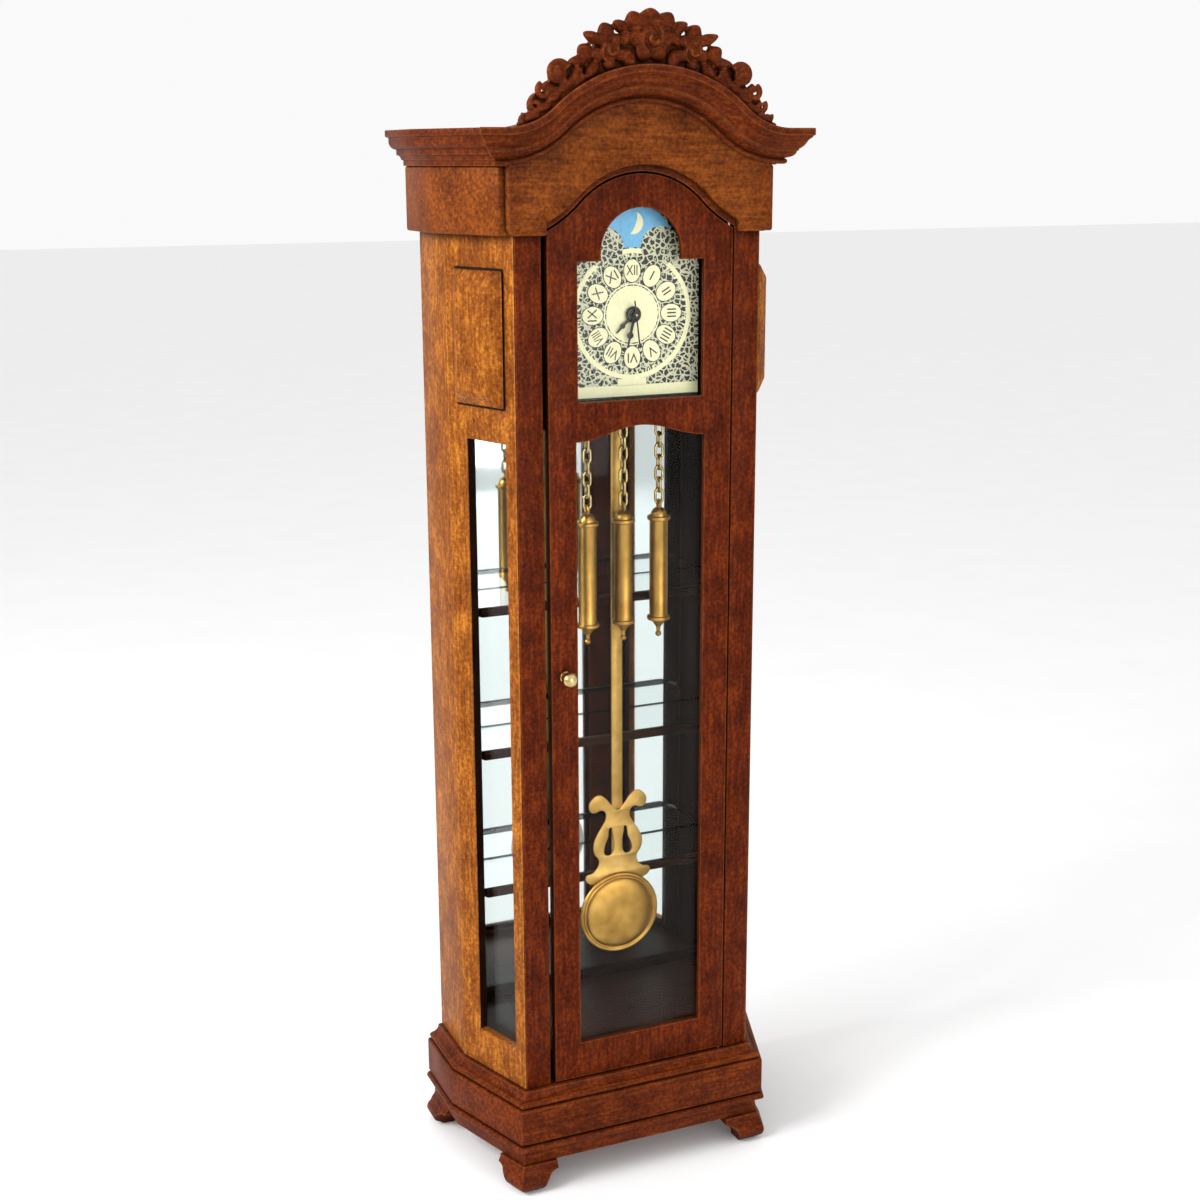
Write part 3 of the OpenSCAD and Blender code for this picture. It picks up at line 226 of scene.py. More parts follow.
def fit(piece, material, body, node=None):
    """Gives a finished piece its material, the body it moves with, and the node it stands for."""
    painted(piece, material)
    if node:
        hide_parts(node)
    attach(piece, body)
    piece.select_set(False)


def worked_copy(node, name, body, material, ease):
    """A CAD node's shape as one clean mesh, its edges eased by so many millimetres."""
    piece = bpy.data.objects.new(name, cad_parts[node].data.copy())
    scene.collection.objects.link(piece)
    take_up(piece)
    bpy.ops.object.mode_set(mode="EDIT")
    bpy.ops.mesh.select_all(action="SELECT")
    bpy.ops.mesh.remove_doubles(threshold=0.002 * MM)
    if ease:
        bpy.ops.mesh.dissolve_limited(angle_limit=math.radians(0.5))
    bpy.ops.object.mode_set(mode="OBJECT")
    if ease:
        bevel = piece.modifiers.new("eased", "BEVEL")
        bevel.width = ease * MM
        bevel.segments = 2
        bevel.limit_method = "ANGLE"
        bevel.angle_limit = math.radians(32)
        bpy.ops.object.modifier_apply(modifier=bevel.name)
    bpy.ops.object.shade_smooth_by_angle(angle=crease)
    fit(piece, material, body, node)
    return piece


for node, name, material, ease in [
    ("feet_front", "front_bracket_feet", rail_wood, 0.25),
    ("feet_rear", "rear_bracket_feet", rail_wood, 0.25),
    ("skirt", "skirt_block", rail_wood, 0.18),
    ("plinth", "plinth_block", rail_wood, 0.25),
    ("base_moulding", "base_moulding_strip", rail_wood, 0.12),
    ("stile_left", "left_stile", front_wood, 0.2),
    ("stile_right", "right_stile", front_wood, 0.2),
    ("door_head", "board_over_door", rail_wood, 0.12),
    ("frieze", "arched_frieze", hood_wood, 0.3),
    ("side_cornices", "side_cornice_runs", rail_wood, 0.12),
    ("shelf_bars", "shelf_front_bars", floor_wood, 0.15),
]:
    worked_copy(node, name, "case", material, ease)

# the front feet are sawn narrower than their blanks, and the outer corner keeps its place
foot_share = 0.72
for side in (-1, 1):
    foot = [v.co for v in bpy.data.objects["front_bracket_feet"].data.vertices if v.co.x * side > 0]
    front_y = min(co.y for co in foot)
    corner = max((co for co in foot if co.y < front_y + 0.05 * MM), key=lambda co: co.x * side).copy()
    for co in foot:
        co.x = corner.x + foot_share * (co.x - corner.x)
        co.y = corner.y + foot_share * (co.y - corner.y)

for node, name, wood, ease in [
    ("side_frame_left", "left_side_board", side_wood_stain_and_painted_light, 0.2),
    ("side_frame_right", "right_side_board", side_wood_stain_and_painted_light, 0.2),
    ("side_panels", "raised_side_panels", side_wood_stain_and_painted_light, 0.25),
    ("return_boards", "rear_return_boards", side_wood_stain_and_painted_light, 0.2),
    ("hood_blocks", "side_hood_blocks", hood_wood, 0.3),
]:
    board = worked_copy(node, name, "case", wood, ease)
    # the faces turned to the middle of the cabinet get near-black wood: painted shade inside the cabinet
    board.data.materials.append(inner_painted_shade_wood)
    for face in board.data.polygons:
        if face.normal.x * face.center.x < -0.3 * abs(face.center.x):
            face.material_index = 1

# a near-black band in the joint round each raised panel: painted shade in the recess
line_wide = 0.4 * MM
line_thick = 0.1 * MM
panels = bpy.data.objects["raised_side_panels"]
panel_shade_band = bpy.data.objects.new("painted_panel_shade_bands", panels.data.copy())
scene.collection.objects.link(panel_shade_band)
for side in (-1, 1):
    corners = [v for v in panel_shade_band.data.vertices if v.co.x * side > 0]
    middle = sum((v.co for v in corners), Vector()) / len(corners)
    flattest = max((p for p in panels.data.polygons if p.center.x * side > 0 and p.normal.x * side > 0.3),
                   key=lambda p: p.area)
    outward = flattest.normal.copy()
    depths = [(v.co - middle).dot(outward) for v in corners]
    low, high = min(depths), max(depths)
    for v, depth in zip(corners, depths):
        in_plane = v.co - middle - outward * depth
        v.co = middle + in_plane * (1 + line_wide / max(in_plane.length, 10 * line_wide))
        v.co += outward * (low + line_thick * (depth - low) / (high - low))
fit(panel_shade_band, inner_painted_shade_wood, "case")

painted(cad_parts["floor_block"], floor_wood)
# the boards inside the case are near-black too: painted shade
for node in ["back_board", "mirror_rail", "seat_board", "top_board", "dial_board"]:
    painted(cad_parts[node], inner_painted_shade_wood)


# Front cornice. One moulding with a bead, a cove and an ovolo under a plain fillet. It is
# swept over the arch, dips through the two hollows, and runs out level to mitred ends.
crown_r = 17 * MM
hollow_r = 13.6 * MM
cornice_h = 3.8 * MM
level_run = 3.8 * MM
overhang = 3.3 * MM
cornice_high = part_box("front_cornice")[1]
frieze_low, frieze_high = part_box("frieze")
crown_z = frieze_high.z - crown_r - cornice_h
hollow_x = cornice_high.x - level_run
hollow_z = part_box("side_cornices")[1].z - cornice_h + hollow_r
bend = math.asin(hollow_x / (crown_r + hollow_r))


def arc_points(y, z, radius, start, end, steps):
    """Points on an arc in a profile, angles in degrees, sizes in millimetres."""
    return [(y + radius * math.cos(math.radians(start + (end - start) * i / steps)),
             z + radius * math.sin(math.radians(start + (end - start) * i / steps)))
            for i in range(steps + 1)]


def turn_out():
    """Turns the active mesh's faces outward."""
    bpy.ops.object.mode_set(mode="EDIT")
    bpy.ops.mesh.select_all(action="SELECT")
    bpy.ops.mesh.normals_make_consistent(inside=False)
    bpy.ops.object.mode_set(mode="OBJECT")


def swept_over_hood(name, profile, run_out):
    """Sweeps a closed profile of (out, up) in millimetres along the hood's arch: half of it over the
    crown and through a hollow, then level to a mitred end, and the other half by a mirror."""
    wall_y = frieze_low.y
    apex_z = crown_z + crown_r
    ring = [(0, wall_y - out * MM, apex_z + up * MM) for out, up in profile]
    mesh = bpy.data.meshes.new(name)
    mesh.from_pydata(ring, [(i, (i + 1) % len(ring)) for i in range(len(ring))], [])
    piece = bpy.data.objects.new(name, mesh)
    scene.collection.objects.link(piece)
    take_up(piece)
    bpy.ops.object.mode_set(mode="EDIT")
    bpy.ops.mesh.select_mode(type="VERT")
    bpy.ops.mesh.select_all(action="SELECT")
    bpy.ops.mesh.spin(steps=28, angle=-bend, center=(0, 0, crown_z), axis=(0, 1, 0))
    bpy.ops.mesh.spin(steps=14, angle=bend, center=(hollow_x, 0, hollow_z), axis=(0, 1, 0))
    bpy.ops.mesh.extrude_region_move(TRANSFORM_OT_translate={"value": (run_out, 0, 0)})
    bpy.ops.object.mode_set(mode="OBJECT")
    for vertex in mesh.vertices:
        if vertex.select:
            vertex.co.x += wall_y - vertex.co.y
    bpy.ops.object.mode_set(mode="EDIT")
    bpy.ops.mesh.edge_face_add()
    bpy.ops.mesh.select_all(action="SELECT")
    bpy.ops.mesh.remove_doubles(threshold=0.001 * MM)
    bpy.ops.object.mode_set(mode="OBJECT")
    mirror = piece.modifiers.new("other_half", "MIRROR")
    mirror.merge_threshold = 0.01 * MM
    bpy.ops.object.modifier_apply(modifier=mirror.name)
    turn_out()
    bpy.ops.object.shade_smooth_by_angle(angle=crease)
    return piece


cornice_profile = (
    [(0, 3.8), (0, -1.0)]
    + arc_points(0.1, -0.62, 0.38, -90, 75, 7)
    + [(0.22, -0.2), (0.45, -0.15)]
    + arc_points(0.5, 0.85, 0.95, -85, -8, 7)
    + [(1.62, 0.78), (1.66, 1.0)]
    + arc_points(0.9, 2.5, 1.65, -58, -20, 6)
    + arc_points(3.3, 1.7, 0.85, 165, 115, 5)
    + [(3.1, 2.75), (3.3, 2.85), (3.3, 3.7), (3.2, 3.8)]
)
front_cornice = swept_over_hood("front_cornice_moulding", cornice_profile,
                                cornice_high.x - overhang - hollow_x)
fit(front_cornice, rail_wood, "case", "front_cornice")


# Crest. A rose between two blossoms, with leaves, C-scrolls and small volutes that run down the
# hollows. It is one casting, stained like the wood, so its forms melt into each other.
crest_low, crest_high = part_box("crest")
crest_mid_y = (crest_low.y + crest_high.y) / 2
apex = frieze_high.z  # the cornice ends here, and the carving stands on it
carving = []


def carved_lobe(x, z, width, length, depth, turn=0.0, lean=0.0, y=0.0):
    """One petal or leaf lobe: a ball drawn out, pinched to a point, and turned into place."""
    bpy.ops.mesh.primitive_uv_sphere_add(segments=20, ring_count=12, radius=1)
    lobe = bpy.context.object
    for vertex in lobe.data.vertices:
        pinch = 1 - 0.35 * max(0, vertex.co.z)
        vertex.co.x *= pinch
        vertex.co.y += 0.25 * vertex.co.x ** 2
    lobe.matrix_world = (
        Matrix.Translation((x * MM, crest_mid_y - y * MM, apex + z * MM))
        @ Matrix.Rotation(math.radians(turn), 4, "Y")
        @ Matrix.Rotation(math.radians(lean), 4, "X")
        @ Matrix.Diagonal((width / 2 * MM, depth / 2 * MM, length / 2 * MM, 1))
    )
    carving.append(lobe)


def scroll(points, start_r, end_r, proud):
    """A round stem through the points, in millimetres from the arch's top, that tapers."""
    bpy.ops.curve.primitive_nurbs_path_add()
    path = bpy.context.object
    curve = path.data
    curve.splines.clear()
    spline = curve.splines.new("NURBS")
    spline.points.add(len(points) - 1)
    for i, (x, z) in enumerate(points):
        spline.points[i].co = (x * MM, crest_mid_y - proud * MM, apex + z * MM, 1)
        spline.points[i].radius = start_r + (end_r - start_r) * i / (len(points) - 1)
    spline.use_endpoint_u = True
    spline.order_u = 3
    spline.resolution_u = 6
    curve.bevel_depth = MM
    curve.bevel_resolution = 4
    curve.use_fill_caps = True
    bpy.ops.object.convert(target="MESH")
    carving.append(bpy.context.object)


def volute(x, z, radius, start, sweep):
    """Points on a spiral that closes on its middle; angles in degrees, clockwise from the top."""
    steps = 14
    points = []
    for i in range(steps + 1):
        a = math.radians(start + sweep * i / steps)
        r = radius * (1 - 0.72 * i / steps)
        points.append((x + r * math.sin(a), z + r * math.cos(a)))
    return points


def blossom(x, z, radius, petals, proud):
    """Outer petals round a low dome, and a rolled whorl of petals on the dome."""
    for i in range(petals):
        turn = 360 * (i + 0.5) / petals
        reach = radius * 0.72
        carved_lobe(x + reach * math.sin(math.radians(turn)), z + reach * math.cos(math.radians(turn)),
                    radius * 0.74, radius * 0.62, 1.1, turn, -20, proud)
    carved_lobe(x, z, radius * 1.15, radius * 1.15, 1.0, 0, 0, proud)
    for reach, start, lift in [(0.56, 20, 0.45), (0.56, 200, 0.45), (0.27, 110, 0.75)]:
        scroll([(x + px, z + pz) for px, pz in volute(0, 0, radius * reach, start, 215)],
               radius * 0.1, radius * 0.08, proud + lift)


# the board behind the carving is drawn in a little all round, and thinned from the front
ground_wide = 0.94
ground_thick = 0.5
ground_tall = 0.9
ground = bpy.data.objects.new("crest_ground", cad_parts["crest"].data.copy())
scene.collection.objects.link(ground)
for vertex in ground.data.vertices:
    vertex.co.x *= ground_wide
    vertex.co.y = crest_high.y + ground_thick * (vertex.co.y - crest_high.y)
    vertex.co.z = crest_low.z + ground_tall * (vertex.co.z - crest_low.z)
take_up(ground)
bpy.ops.object.mode_set(mode="EDIT")
bpy.ops.mesh.select_all(action="SELECT")
bpy.ops.mesh.remove_doubles(threshold=0.002 * MM)
bpy.ops.object.mode_set(mode="OBJECT")
carving.append(ground)

blossom(0, 3.3, 3.3, 6, 0.6)
for x, z, wide, long, turn in [(0, 6.0, 3.4, 2.2, 0), (-2.4, 5.5, 2.8, 2.4, -30), (2.4, 5.5, 2.8, 2.4, 30),
                               (-4.3, 4.7, 1.7, 2.4, -62), (4.3, 4.7, 1.7, 2.4, 62)]:
    carved_lobe(x, z, wide, long, 1.7, turn, 12, 0.2)
for side in (-1, 1):
    blossom(side * 6.0, 1.6, 2.5, 5, 0.5)
    # leaves that curl over behind the blossoms, some lying across others
    for x, z, wide, long, turn, proud in [
        (6.4, 4.0, 2.6, 2.4, 34, 0.2), (8.3, 3.2, 1.6, 3.2, 70, 0.5), (9.4, 1.4, 2.5, 2.4, 52, 0.3),
        (10.5, 0.2, 1.5, 2.8, 92, 0.5), (3.3, 0.6, 2.0, 3.0, 205, 0.5), (8.5, -0.9, 2.0, 2.8, 140, 0.4),
        (3.6, 3.2, 1.6, 2.2, 150, 0.4),
    ]:
        carved_lobe(side * x, z, wide, long, 1.5, side * turn, 10, proud)
    # C-scroll with a ball at its outer end, then smaller volutes one below the other
    scroll([(side * x, z) for x, z in volute(13.3, -1.3, 1.5, -60, 420)], 0.55, 0.45, 0.8)
    carved_lobe(side * 13.4, -1.2, 1.6, 1.6, 1.9, 0, 0, 0.9)
    scroll([(side * x, z) for x, z in
            [(10.4, -0.6), (11.2, -2.2), (12.6, -3.4), (14.2, -3.6), (15.3, -2.6)]], 0.65, 0.5, 0.6)
    scroll([(side * x, z) for x, z in volute(15.3, -3.5, 1.0, 20, 400)], 0.42, 0.35, 0.7)
    scroll([(side * x, z) for x, z in volute(16.4, -5.3, 0.85, 40, 380)], 0.38, 0.3, 0.6)
    scroll([(side * x, z) for x, z in volute(17.6, -6.7, 0.65, 50, 360)], 0.32, 0.25, 0.5)
    # acanthus that lies in the hollow and runs down to the level cornice
    scroll([(side * x, z) for x, z in
            [(9.6, -1.6), (11.8, -3.6), (14.2, -5.8), (16.4, -7.1), (18.9, -7.75)]], 0.75, 0.3, 0.3)
    for x, z, turn in [(12.0, -2.6, 100), (13.9, -4.4, 112), (15.2, -5.6, 110), (16.8, -6.8, 106)]:
        carved_lobe(side * x, z, 1.3, 2.2, 1.3, side * turn, 0, 0.6)
bpy.ops.object.select_all(action="DESELECT")
for part in carving:
    part.select_set(True)
bpy.context.view_layer.objects.active = carving[-1]
bpy.ops.object.join()
crest = bpy.context.object
crest.name = "carved_crest"
bpy.ops.object.transform_apply(location=True, rotation=True, scale=True)
remesh = crest.modifiers.new("casting", "REMESH")
remesh.mode = "VOXEL"
remesh.voxel_size = 0.14 * MM
bpy.ops.object.modifier_apply(modifier=remesh.name)
melt = crest.modifiers.new("melt", "SMOOTH")
melt.factor = 0.5
melt.iterations = 1
bpy.ops.object.modifier_apply(modifier=melt.name)
bpy.ops.object.shade_smooth()
fit(crest, rail_wood, "case", "crest")


# Door. A basswood frame with an arched head, two clear panes in rebates behind it, and a
# turned brass knob on the left. It swings on two steel pins.
worked_copy("door_frame", "arched_door_frame", "door", front_wood, 0.22)

clear_sheet, tree, output = new_material("clear_acrylic_sheet")
dull = spread(tree, noise(tree, object_place(tree), 400, 2), 0.0, 0.01)
pane_shader = add_node(tree, "ShaderNodeBsdfPrincipled",
                       {"Base Color": hex_colour("#f7fbfa"), "Transmission Weight": 1.0, "IOR": 1.16},
                       {"Roughness": dull}).outputs[0]
# lamps pass through the sheet, so that what is behind it is lit
open_shader = add_node(tree, "ShaderNodeBsdfTransparent").outputs[0]
lamp_ray = add_node(tree, "ShaderNodeLightPath").outputs["Is Shadow Ray"]
pane = add_node(tree, "ShaderNodeMixShader", {}, {0: lamp_ray, 1: pane_shader, 2: open_shader})
tree.links.new(pane.outputs[0], output.inputs["Surface"])
for node in ["door_pane", "dial_pane", "side_panes", "shelves"]:
    painted(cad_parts[node], clear_sheet)


def cast_metal(name, dark, light, shine, spot_mm):
    """Plated metal: bright, with a soft cloudy tarnish and small specks, rougher where dull."""
    material, tree, output = new_material(name)
    place = object_place(tree)
    cloud = noise(tree, place, 1 / (spot_mm * MM), 4, 0.6)
    grit = noise(tree, place, 1 / (0.25 * MM), 2)
    colour = two_tone(tree, hex_colour(dark), hex_colour(light), spread(tree, cloud, 0, 1, 0.3, 0.7))
    rough = spread(tree, cloud, shine + 0.12, shine - 0.05)
    join_shader(tree, output, {"Metallic": 1.0},
                {"Base Color": colour, "Roughness": rough, "Normal": bumped(tree, grit, 0.2, 0.03 * MM)})
    return material


polished_brass = cast_metal("polished_brass", "#a8884c", "#e8cf96", 0.2, 1.2)
aged_brass = cast_metal("aged_brass", "#99702f", "#c99a4e", 0.36, 3.0)
stamped_brass = cast_metal("stamped_brass", "#a47c3a", "#cfa660", 0.45, 3.0)
plain_steel = cast_metal("drawn_steel", "#77787a", "#b9babb", 0.35, 1.5)
worked_copy("door_knob", "turned_door_knob", "door", polished_brass, 0.08)
painted(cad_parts["hinge_pins"], plain_steel)


# Cabinet. The back is a sheet of silvered mirror that lies against the back board, and a small
# dark rail holds it at its foot. The shelves and side panes are clear sheet, like the door's.
mirror_glass, tree, output = new_material("silvered_mirror")
mirror_rough = spread(tree, noise(tree, object_place(tree), 250, 3), 0.01, 0.06)
join_shader(tree, output, {"Base Color": hex_colour("#e4e8e8"), "Metallic": 1.0}, {"Roughness": mirror_rough})
painted(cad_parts["back_mirror"], mirror_glass)


# Dial. A printed card: black and silver scrollwork, a cream centre, twelve cream shields with
# numerals, a cream circle round them, and a night sky with a moon in the arch.
def printed_card(name, colour, mottle):
    """Matt printed card with a slight unevenness in the ink."""
    material, tree, output = new_material(name)
    ink = noise(tree, object_place(tree), 1 / (0.6 * MM), 4)
    join_shader(tree, output, {"Roughness": 0.55},
                {"Base Color": two_tone(tree, hex_colour(colour), hex_colour(mottle), ink)})
    return material


cream = printed_card("cream_ink", "#f3ecc6", "#e6dba8")
ink_black = printed_card("black_ink", "#14130f", "#2c2a22")
sky_blue = printed_card("sky_ink", "#4f9ccf", "#86bfe0")

scrollwork, tree, output = new_material("scrollwork_ink")
place = object_place(tree)
wander = add_node(tree, "ShaderNodeTexNoise", {"Scale": 1 / (0.9 * MM), "Detail": 1}, {"Vector": place})
bent = add_node(tree, "ShaderNodeMix", {"data_type": "VECTOR", 0: 0.0006},
                {4: place, 5: wander.outputs["Color"]}).outputs[1]
# leafy cells under a millimetre across, black between silver lines, with smaller silver dots
cells = add_node(tree, "ShaderNodeTexVoronoi", {"feature": "DISTANCE_TO_EDGE", "Scale": 1 / (0.8 * MM)},
                 {"Vector": bent}).outputs["Distance"]
dots = add_node(tree, "ShaderNodeTexVoronoi", {"Scale": 1 / (0.45 * MM)},
                {"Vector": bent}).outputs["Distance"]
line = spread(tree, cells, 1, 0, 0.09, 0.13)
dot = spread(tree, dots, 0, 1, 0.27, 0.21)
drawn = add_node(tree, "ShaderNodeMath", {"operation": "MAXIMUM"}, {0: line, 1: dot}).outputs[0]
silver = two_tone(tree, hex_colour("#1d1c17"), hex_colour("#c9c4a4"), drawn)
join_shader(tree, output, {"Roughness": 0.5}, {"Base Color": silver})
painted(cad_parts["dial_plate"], scrollwork)

plate_low, plate_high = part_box("dial_plate")
nut_low, nut_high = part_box("hand_nut")
hub = (nut_low + nut_high) / 2
face_y = plate_low.y
ink_t = 0.02 * MM


def on_dial(x, z, layer, turn=0.0):
    """The place of a flat print: x and z in millimetres from the hands' centre, and so many layers up."""
    return (
        Matrix.Translation((hub.x + x * MM, face_y - layer * ink_t, hub.z + z * MM))
        @ Matrix.Rotation(math.radians(turn), 4, "Y")
        @ Matrix.Rotation(math.radians(90), 4, "X")
    )


def round_dial(reach, turn):
    """A place at a reach from the hands' centre, at a turn in degrees from the top."""
    return reach * math.sin(math.radians(turn)), reach * math.cos(math.radians(turn))


def finish_print(piece, name, material):
    """Settles a print in its own mesh and lets it ride on the case."""
    bpy.ops.object.transform_apply(location=True, rotation=True, scale=True)
    bpy.ops.object.mode_set(mode="EDIT")
    bpy.ops.mesh.select_all(action="SELECT")
    bpy.ops.mesh.remove_doubles(threshold=0.0005 * MM)
    bpy.ops.object.mode_set(mode="OBJECT")
    turn_out()
    piece.name = name
    fit(piece, material, "case")


def printed_disc(x, z, radius, layer, squeeze=1.0, turn=0.0, hole=0.0, sides=72):
    """A thin round or oval print, in millimetres, with a hole in it where one is given."""
    bpy.ops.object.select_all(action="DESELECT")
    bpy.ops.mesh.primitive_circle_add(vertices=sides, radius=radius * MM, fill_type="NGON")
    disc = bpy.context.object
    bpy.ops.object.mode_set(mode="EDIT")
    bpy.ops.mesh.select_all(action="SELECT")
    if hole:
        bpy.ops.mesh.inset(thickness=(radius - hole) * MM)
        bpy.ops.mesh.delete(type="ONLY_FACE")
        bpy.ops.mesh.select_all(action="SELECT")
    bpy.ops.mesh.extrude_region_move(TRANSFORM_OT_translate={"value": (0, 0, ink_t)})
    bpy.ops.object.mode_set(mode="OBJECT")
    disc.matrix_world = on_dial(x, z, layer - 1, turn) @ Matrix.Diagonal((squeeze, 1, 1, 1))
    return disc


def join_prints(parts, name, material):
    """Makes one printed piece of several."""
    bpy.ops.object.select_all(action="DESELECT")
    for part in parts:
        part.select_set(True)
        bpy.context.view_layer.objects.active = part
        bpy.ops.object.transform_apply(location=True, rotation=True, scale=True)
    bpy.ops.object.join()
    finish_print(bpy.context.object, name, material)


ring_r = 9.05
ring_inner_r = 8.4
tick_reach = 8.2
shield_reach = 6.0
border_r = 1.68
shield_r = 1.56
numeral_h = 2.0 * MM
numeral_w = 1.7 * MM
finish_print(printed_disc(0, 0, 3.95, 1, hole=1.0), "dial_centre", cream)
join_prints([printed_disc(0, 0, ring_r, 1, hole=ring_inner_r), printed_disc(0, 0, 4.3, 1, hole=4.12)],
            "dial_circles", cream)
shields, borders, numerals = [], [], []
for hour, text in enumerate(["XII", "I", "II", "III", "IIII", "V", "VI", "VII", "VIII", "IX", "X", "XI"]):
    turn = 30 * hour
    x, z = round_dial(shield_reach, turn)
    borders.append(printed_disc(x, z, border_r, 1, 0.8, turn, sides=32))
    shields.append(printed_disc(x, z, shield_r, 2, 0.79, turn, sides=32))
    bpy.ops.object.text_add()
    numeral = bpy.context.object
    numeral.data.body = text
    numeral.data.size = numeral_h
    numeral.data.align_x = "CENTER"
    numeral.data.align_y = "CENTER"
    numeral.data.extrude = ink_t / 2
    numeral.data.resolution_u = 3
    bpy.ops.object.convert(target="MESH")
    narrowed = 1 / max(1.0, numeral.dimensions.x / numeral_w)
    numeral.matrix_world = on_dial(x, z, 2.6, turn) @ Matrix.Diagonal((narrowed, 1, 1, 1))
    numerals.append(numeral)
join_prints(borders, "shield_borders", ink_black)
join_prints(shields, "numeral_shields", cream)
join_prints(numerals, "roman_numerals", ink_black)

ticks = []
for minute in range(60):
    turn = 6 * minute
    x, z = round_dial(tick_reach, turn)
    ticks.append(printed_disc(x, z, 0.3, 1, 0.32, turn, sides=8))
join_prints(ticks, "minute_ticks", cream)


def printed_block(x0, z0, x1, z1):
    """A thin upright rectangle of ink, in millimetres from the hands' centre."""
    bpy.ops.object.select_all(action="DESELECT")
    bpy.ops.mesh.primitive_plane_add(size=1)
    block = bpy.context.object
    bpy.ops.object.mode_set(mode="EDIT")
    bpy.ops.mesh.select_all(action="SELECT")
    bpy.ops.mesh.extrude_region_move(TRANSFORM_OT_translate={"value": (0, 0, 1)})
    bpy.ops.object.mode_set(mode="OBJECT")
    block.matrix_world = (
        on_dial((x0 + x1) / 2, (z0 + z1) / 2, 0)
        @ Matrix.Diagonal(((x1 - x0) * MM, (z1 - z0) * MM, ink_t, 1))
    )
    return block


half_w = (plate_high.x - plate_low.x) / 2 / MM
foot_z = (plate_low.z - hub.z) / MM
strip_foot = -11.4
strip_top = -9.85
join_prints([printed_block(-half_w, strip_foot, half_w, strip_top), printed_block(-2.2, -9.9, 2.2, -8.95)],
            "lower_strip", cream)
# near-black band under the cream strip: painted shadow of the gap below the dial card
finish_print(printed_block(-half_w, foot_z, half_w, strip_foot), "painted_shadow_strip", ink_black)

arch_z = 8.6
arch_r = 6.6
sky_foot = 9.2
sky = printed_disc(0, arch_z, arch_r, 1)
bpy.ops.object.transform_apply(location=True, rotation=True, scale=True)
bpy.ops.object.mode_set(mode="EDIT")
bpy.ops.mesh.select_all(action="SELECT")
bpy.ops.mesh.bisect(plane_co=(0, 0, hub.z + sky_foot * MM), plane_no=(0, 0, 1),
                    clear_inner=True, use_fill=True)
bpy.ops.object.mode_set(mode="OBJECT")
finish_print(sky, "night_sky", sky_blue)
humps = [printed_disc(side * 4.3, 9.3, 2.7, 2, 1.1) for side in (-1, 1)]
join_prints(humps, "scroll_humps", scrollwork)

# the disc's left half is pressed through to the right, which leaves a crescent
moon = printed_disc(0.1, 12.5, 1.55, 2, 1.0, 20)
for vertex in moon.data.vertices:
    if vertex.co.x < 0:
        vertex.co.x *= -0.3
finish_print(moon, "crescent_moon", cream)


# Hands. An hour hand, a minute hand and a thin second hand, stamped from steel sheet and
# blackened, with a small round nut that holds the minute hand on its pipe.
black_steel, tree, output = new_material("blackened_steel")
sheen = noise(tree, object_place(tree), 1 / (0.8 * MM), 3)
join_shader(tree, output, {"IOR": 1.5},
            {"Base Color": two_tone(tree, hex_colour("#0b0b0c"), hex_colour("#1d1c1e"), sheen),
             "Roughness": spread(tree, sheen, 0.35, 0.5)})
worked_copy("hour_hand", "spade_hour_hand", "hour", black_steel, 0.03)
worked_copy("minute_hand", "spade_minute_hand", "minute", black_steel, 0.03)
worked_copy("second_hand", "thin_second_hand", "second", black_steel, 0.02)
worked_copy("hand_nut", "round_hand_nut", "minute", black_steel, 0.05)


# Movement. A closed case of moulded black plastic behind the dial, with wheels of white plastic
# and brass in it, a coil of copper wire, a battery, and a knob at the back that sets the hands.
def moulded_plastic(name, low, high, rough_mid, grain_mm):
    """Moulded plastic with the fine spark texture of its tool."""
    material, tree, output = new_material(name)
    spark = noise(tree, object_place(tree), 1 / (grain_mm * MM), 3)
    join_shader(tree, output, {"IOR": 1.5},
                {"Base Color": two_tone(tree, hex_colour(low), hex_colour(high), spark),
                 "Roughness": spread(tree, spark, rough_mid - 0.08, rough_mid + 0.08),
                 "Normal": bumped(tree, spark, 0.3, 0.02 * MM)})
    return material


black_abs = moulded_plastic("black_abs", "#101012", "#1d1d20", 0.55, 0.4)
white_acetal = moulded_plastic("white_acetal", "#dcd9cf", "#efece2", 0.4, 0.5)
copper_wire = cast_metal("lacquered_copper_wire", "#7c3a17", "#b5622e", 0.35, 0.6)
for node in ["movement_case", "movement_cover"]:
    painted(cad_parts[node], black_abs)
for node in ["rotor", "intermediate_wheel", "third_wheel", "motion_wheel", "hour_wheel"]:
    painted(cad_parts[node], white_acetal)
for node in ["second_wheel", "centre_wheel", "cannon_pinion", "hanging_pins"]:
    painted(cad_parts[node], polished_brass)
painted(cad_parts["coil"], copper_wire)
painted(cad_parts["battery"], plain_steel)
worked_copy("setting_knob", "knurled_setting_knob", "setting", black_abs, 0.08)


# Weights. Turned brass shells with collars and a tip. Each hangs from a chain of round brass
# wire, and the chain from a brass pin under the movement's seat board.
for side in ["left", "middle", "right"]:
    worked_copy("weight_" + side, side + "_turned_weight", "weight_" + side, aged_brass, 0.06)
    worked_copy("chain_" + side, side + "_wire_chain", "weight_" + side, polished_brass, 0)


# Pendulum. A flat brass rod with a stamped lyre at its foot, and under it a bob pressed from
# sheet brass, domed in the middle, with a double rolled rim.
worked_copy("pendulum_rod", "flat_pendulum_rod", "pendulum", stamped_brass, 0.06)

bob_low, bob_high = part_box("pendulum_bob")
bob = (bob_low + bob_high) / 2
bob_r = (bob_high.x - bob_low.x) / 2 / MM
lyre_low, lyre_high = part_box("pendulum_lyre")
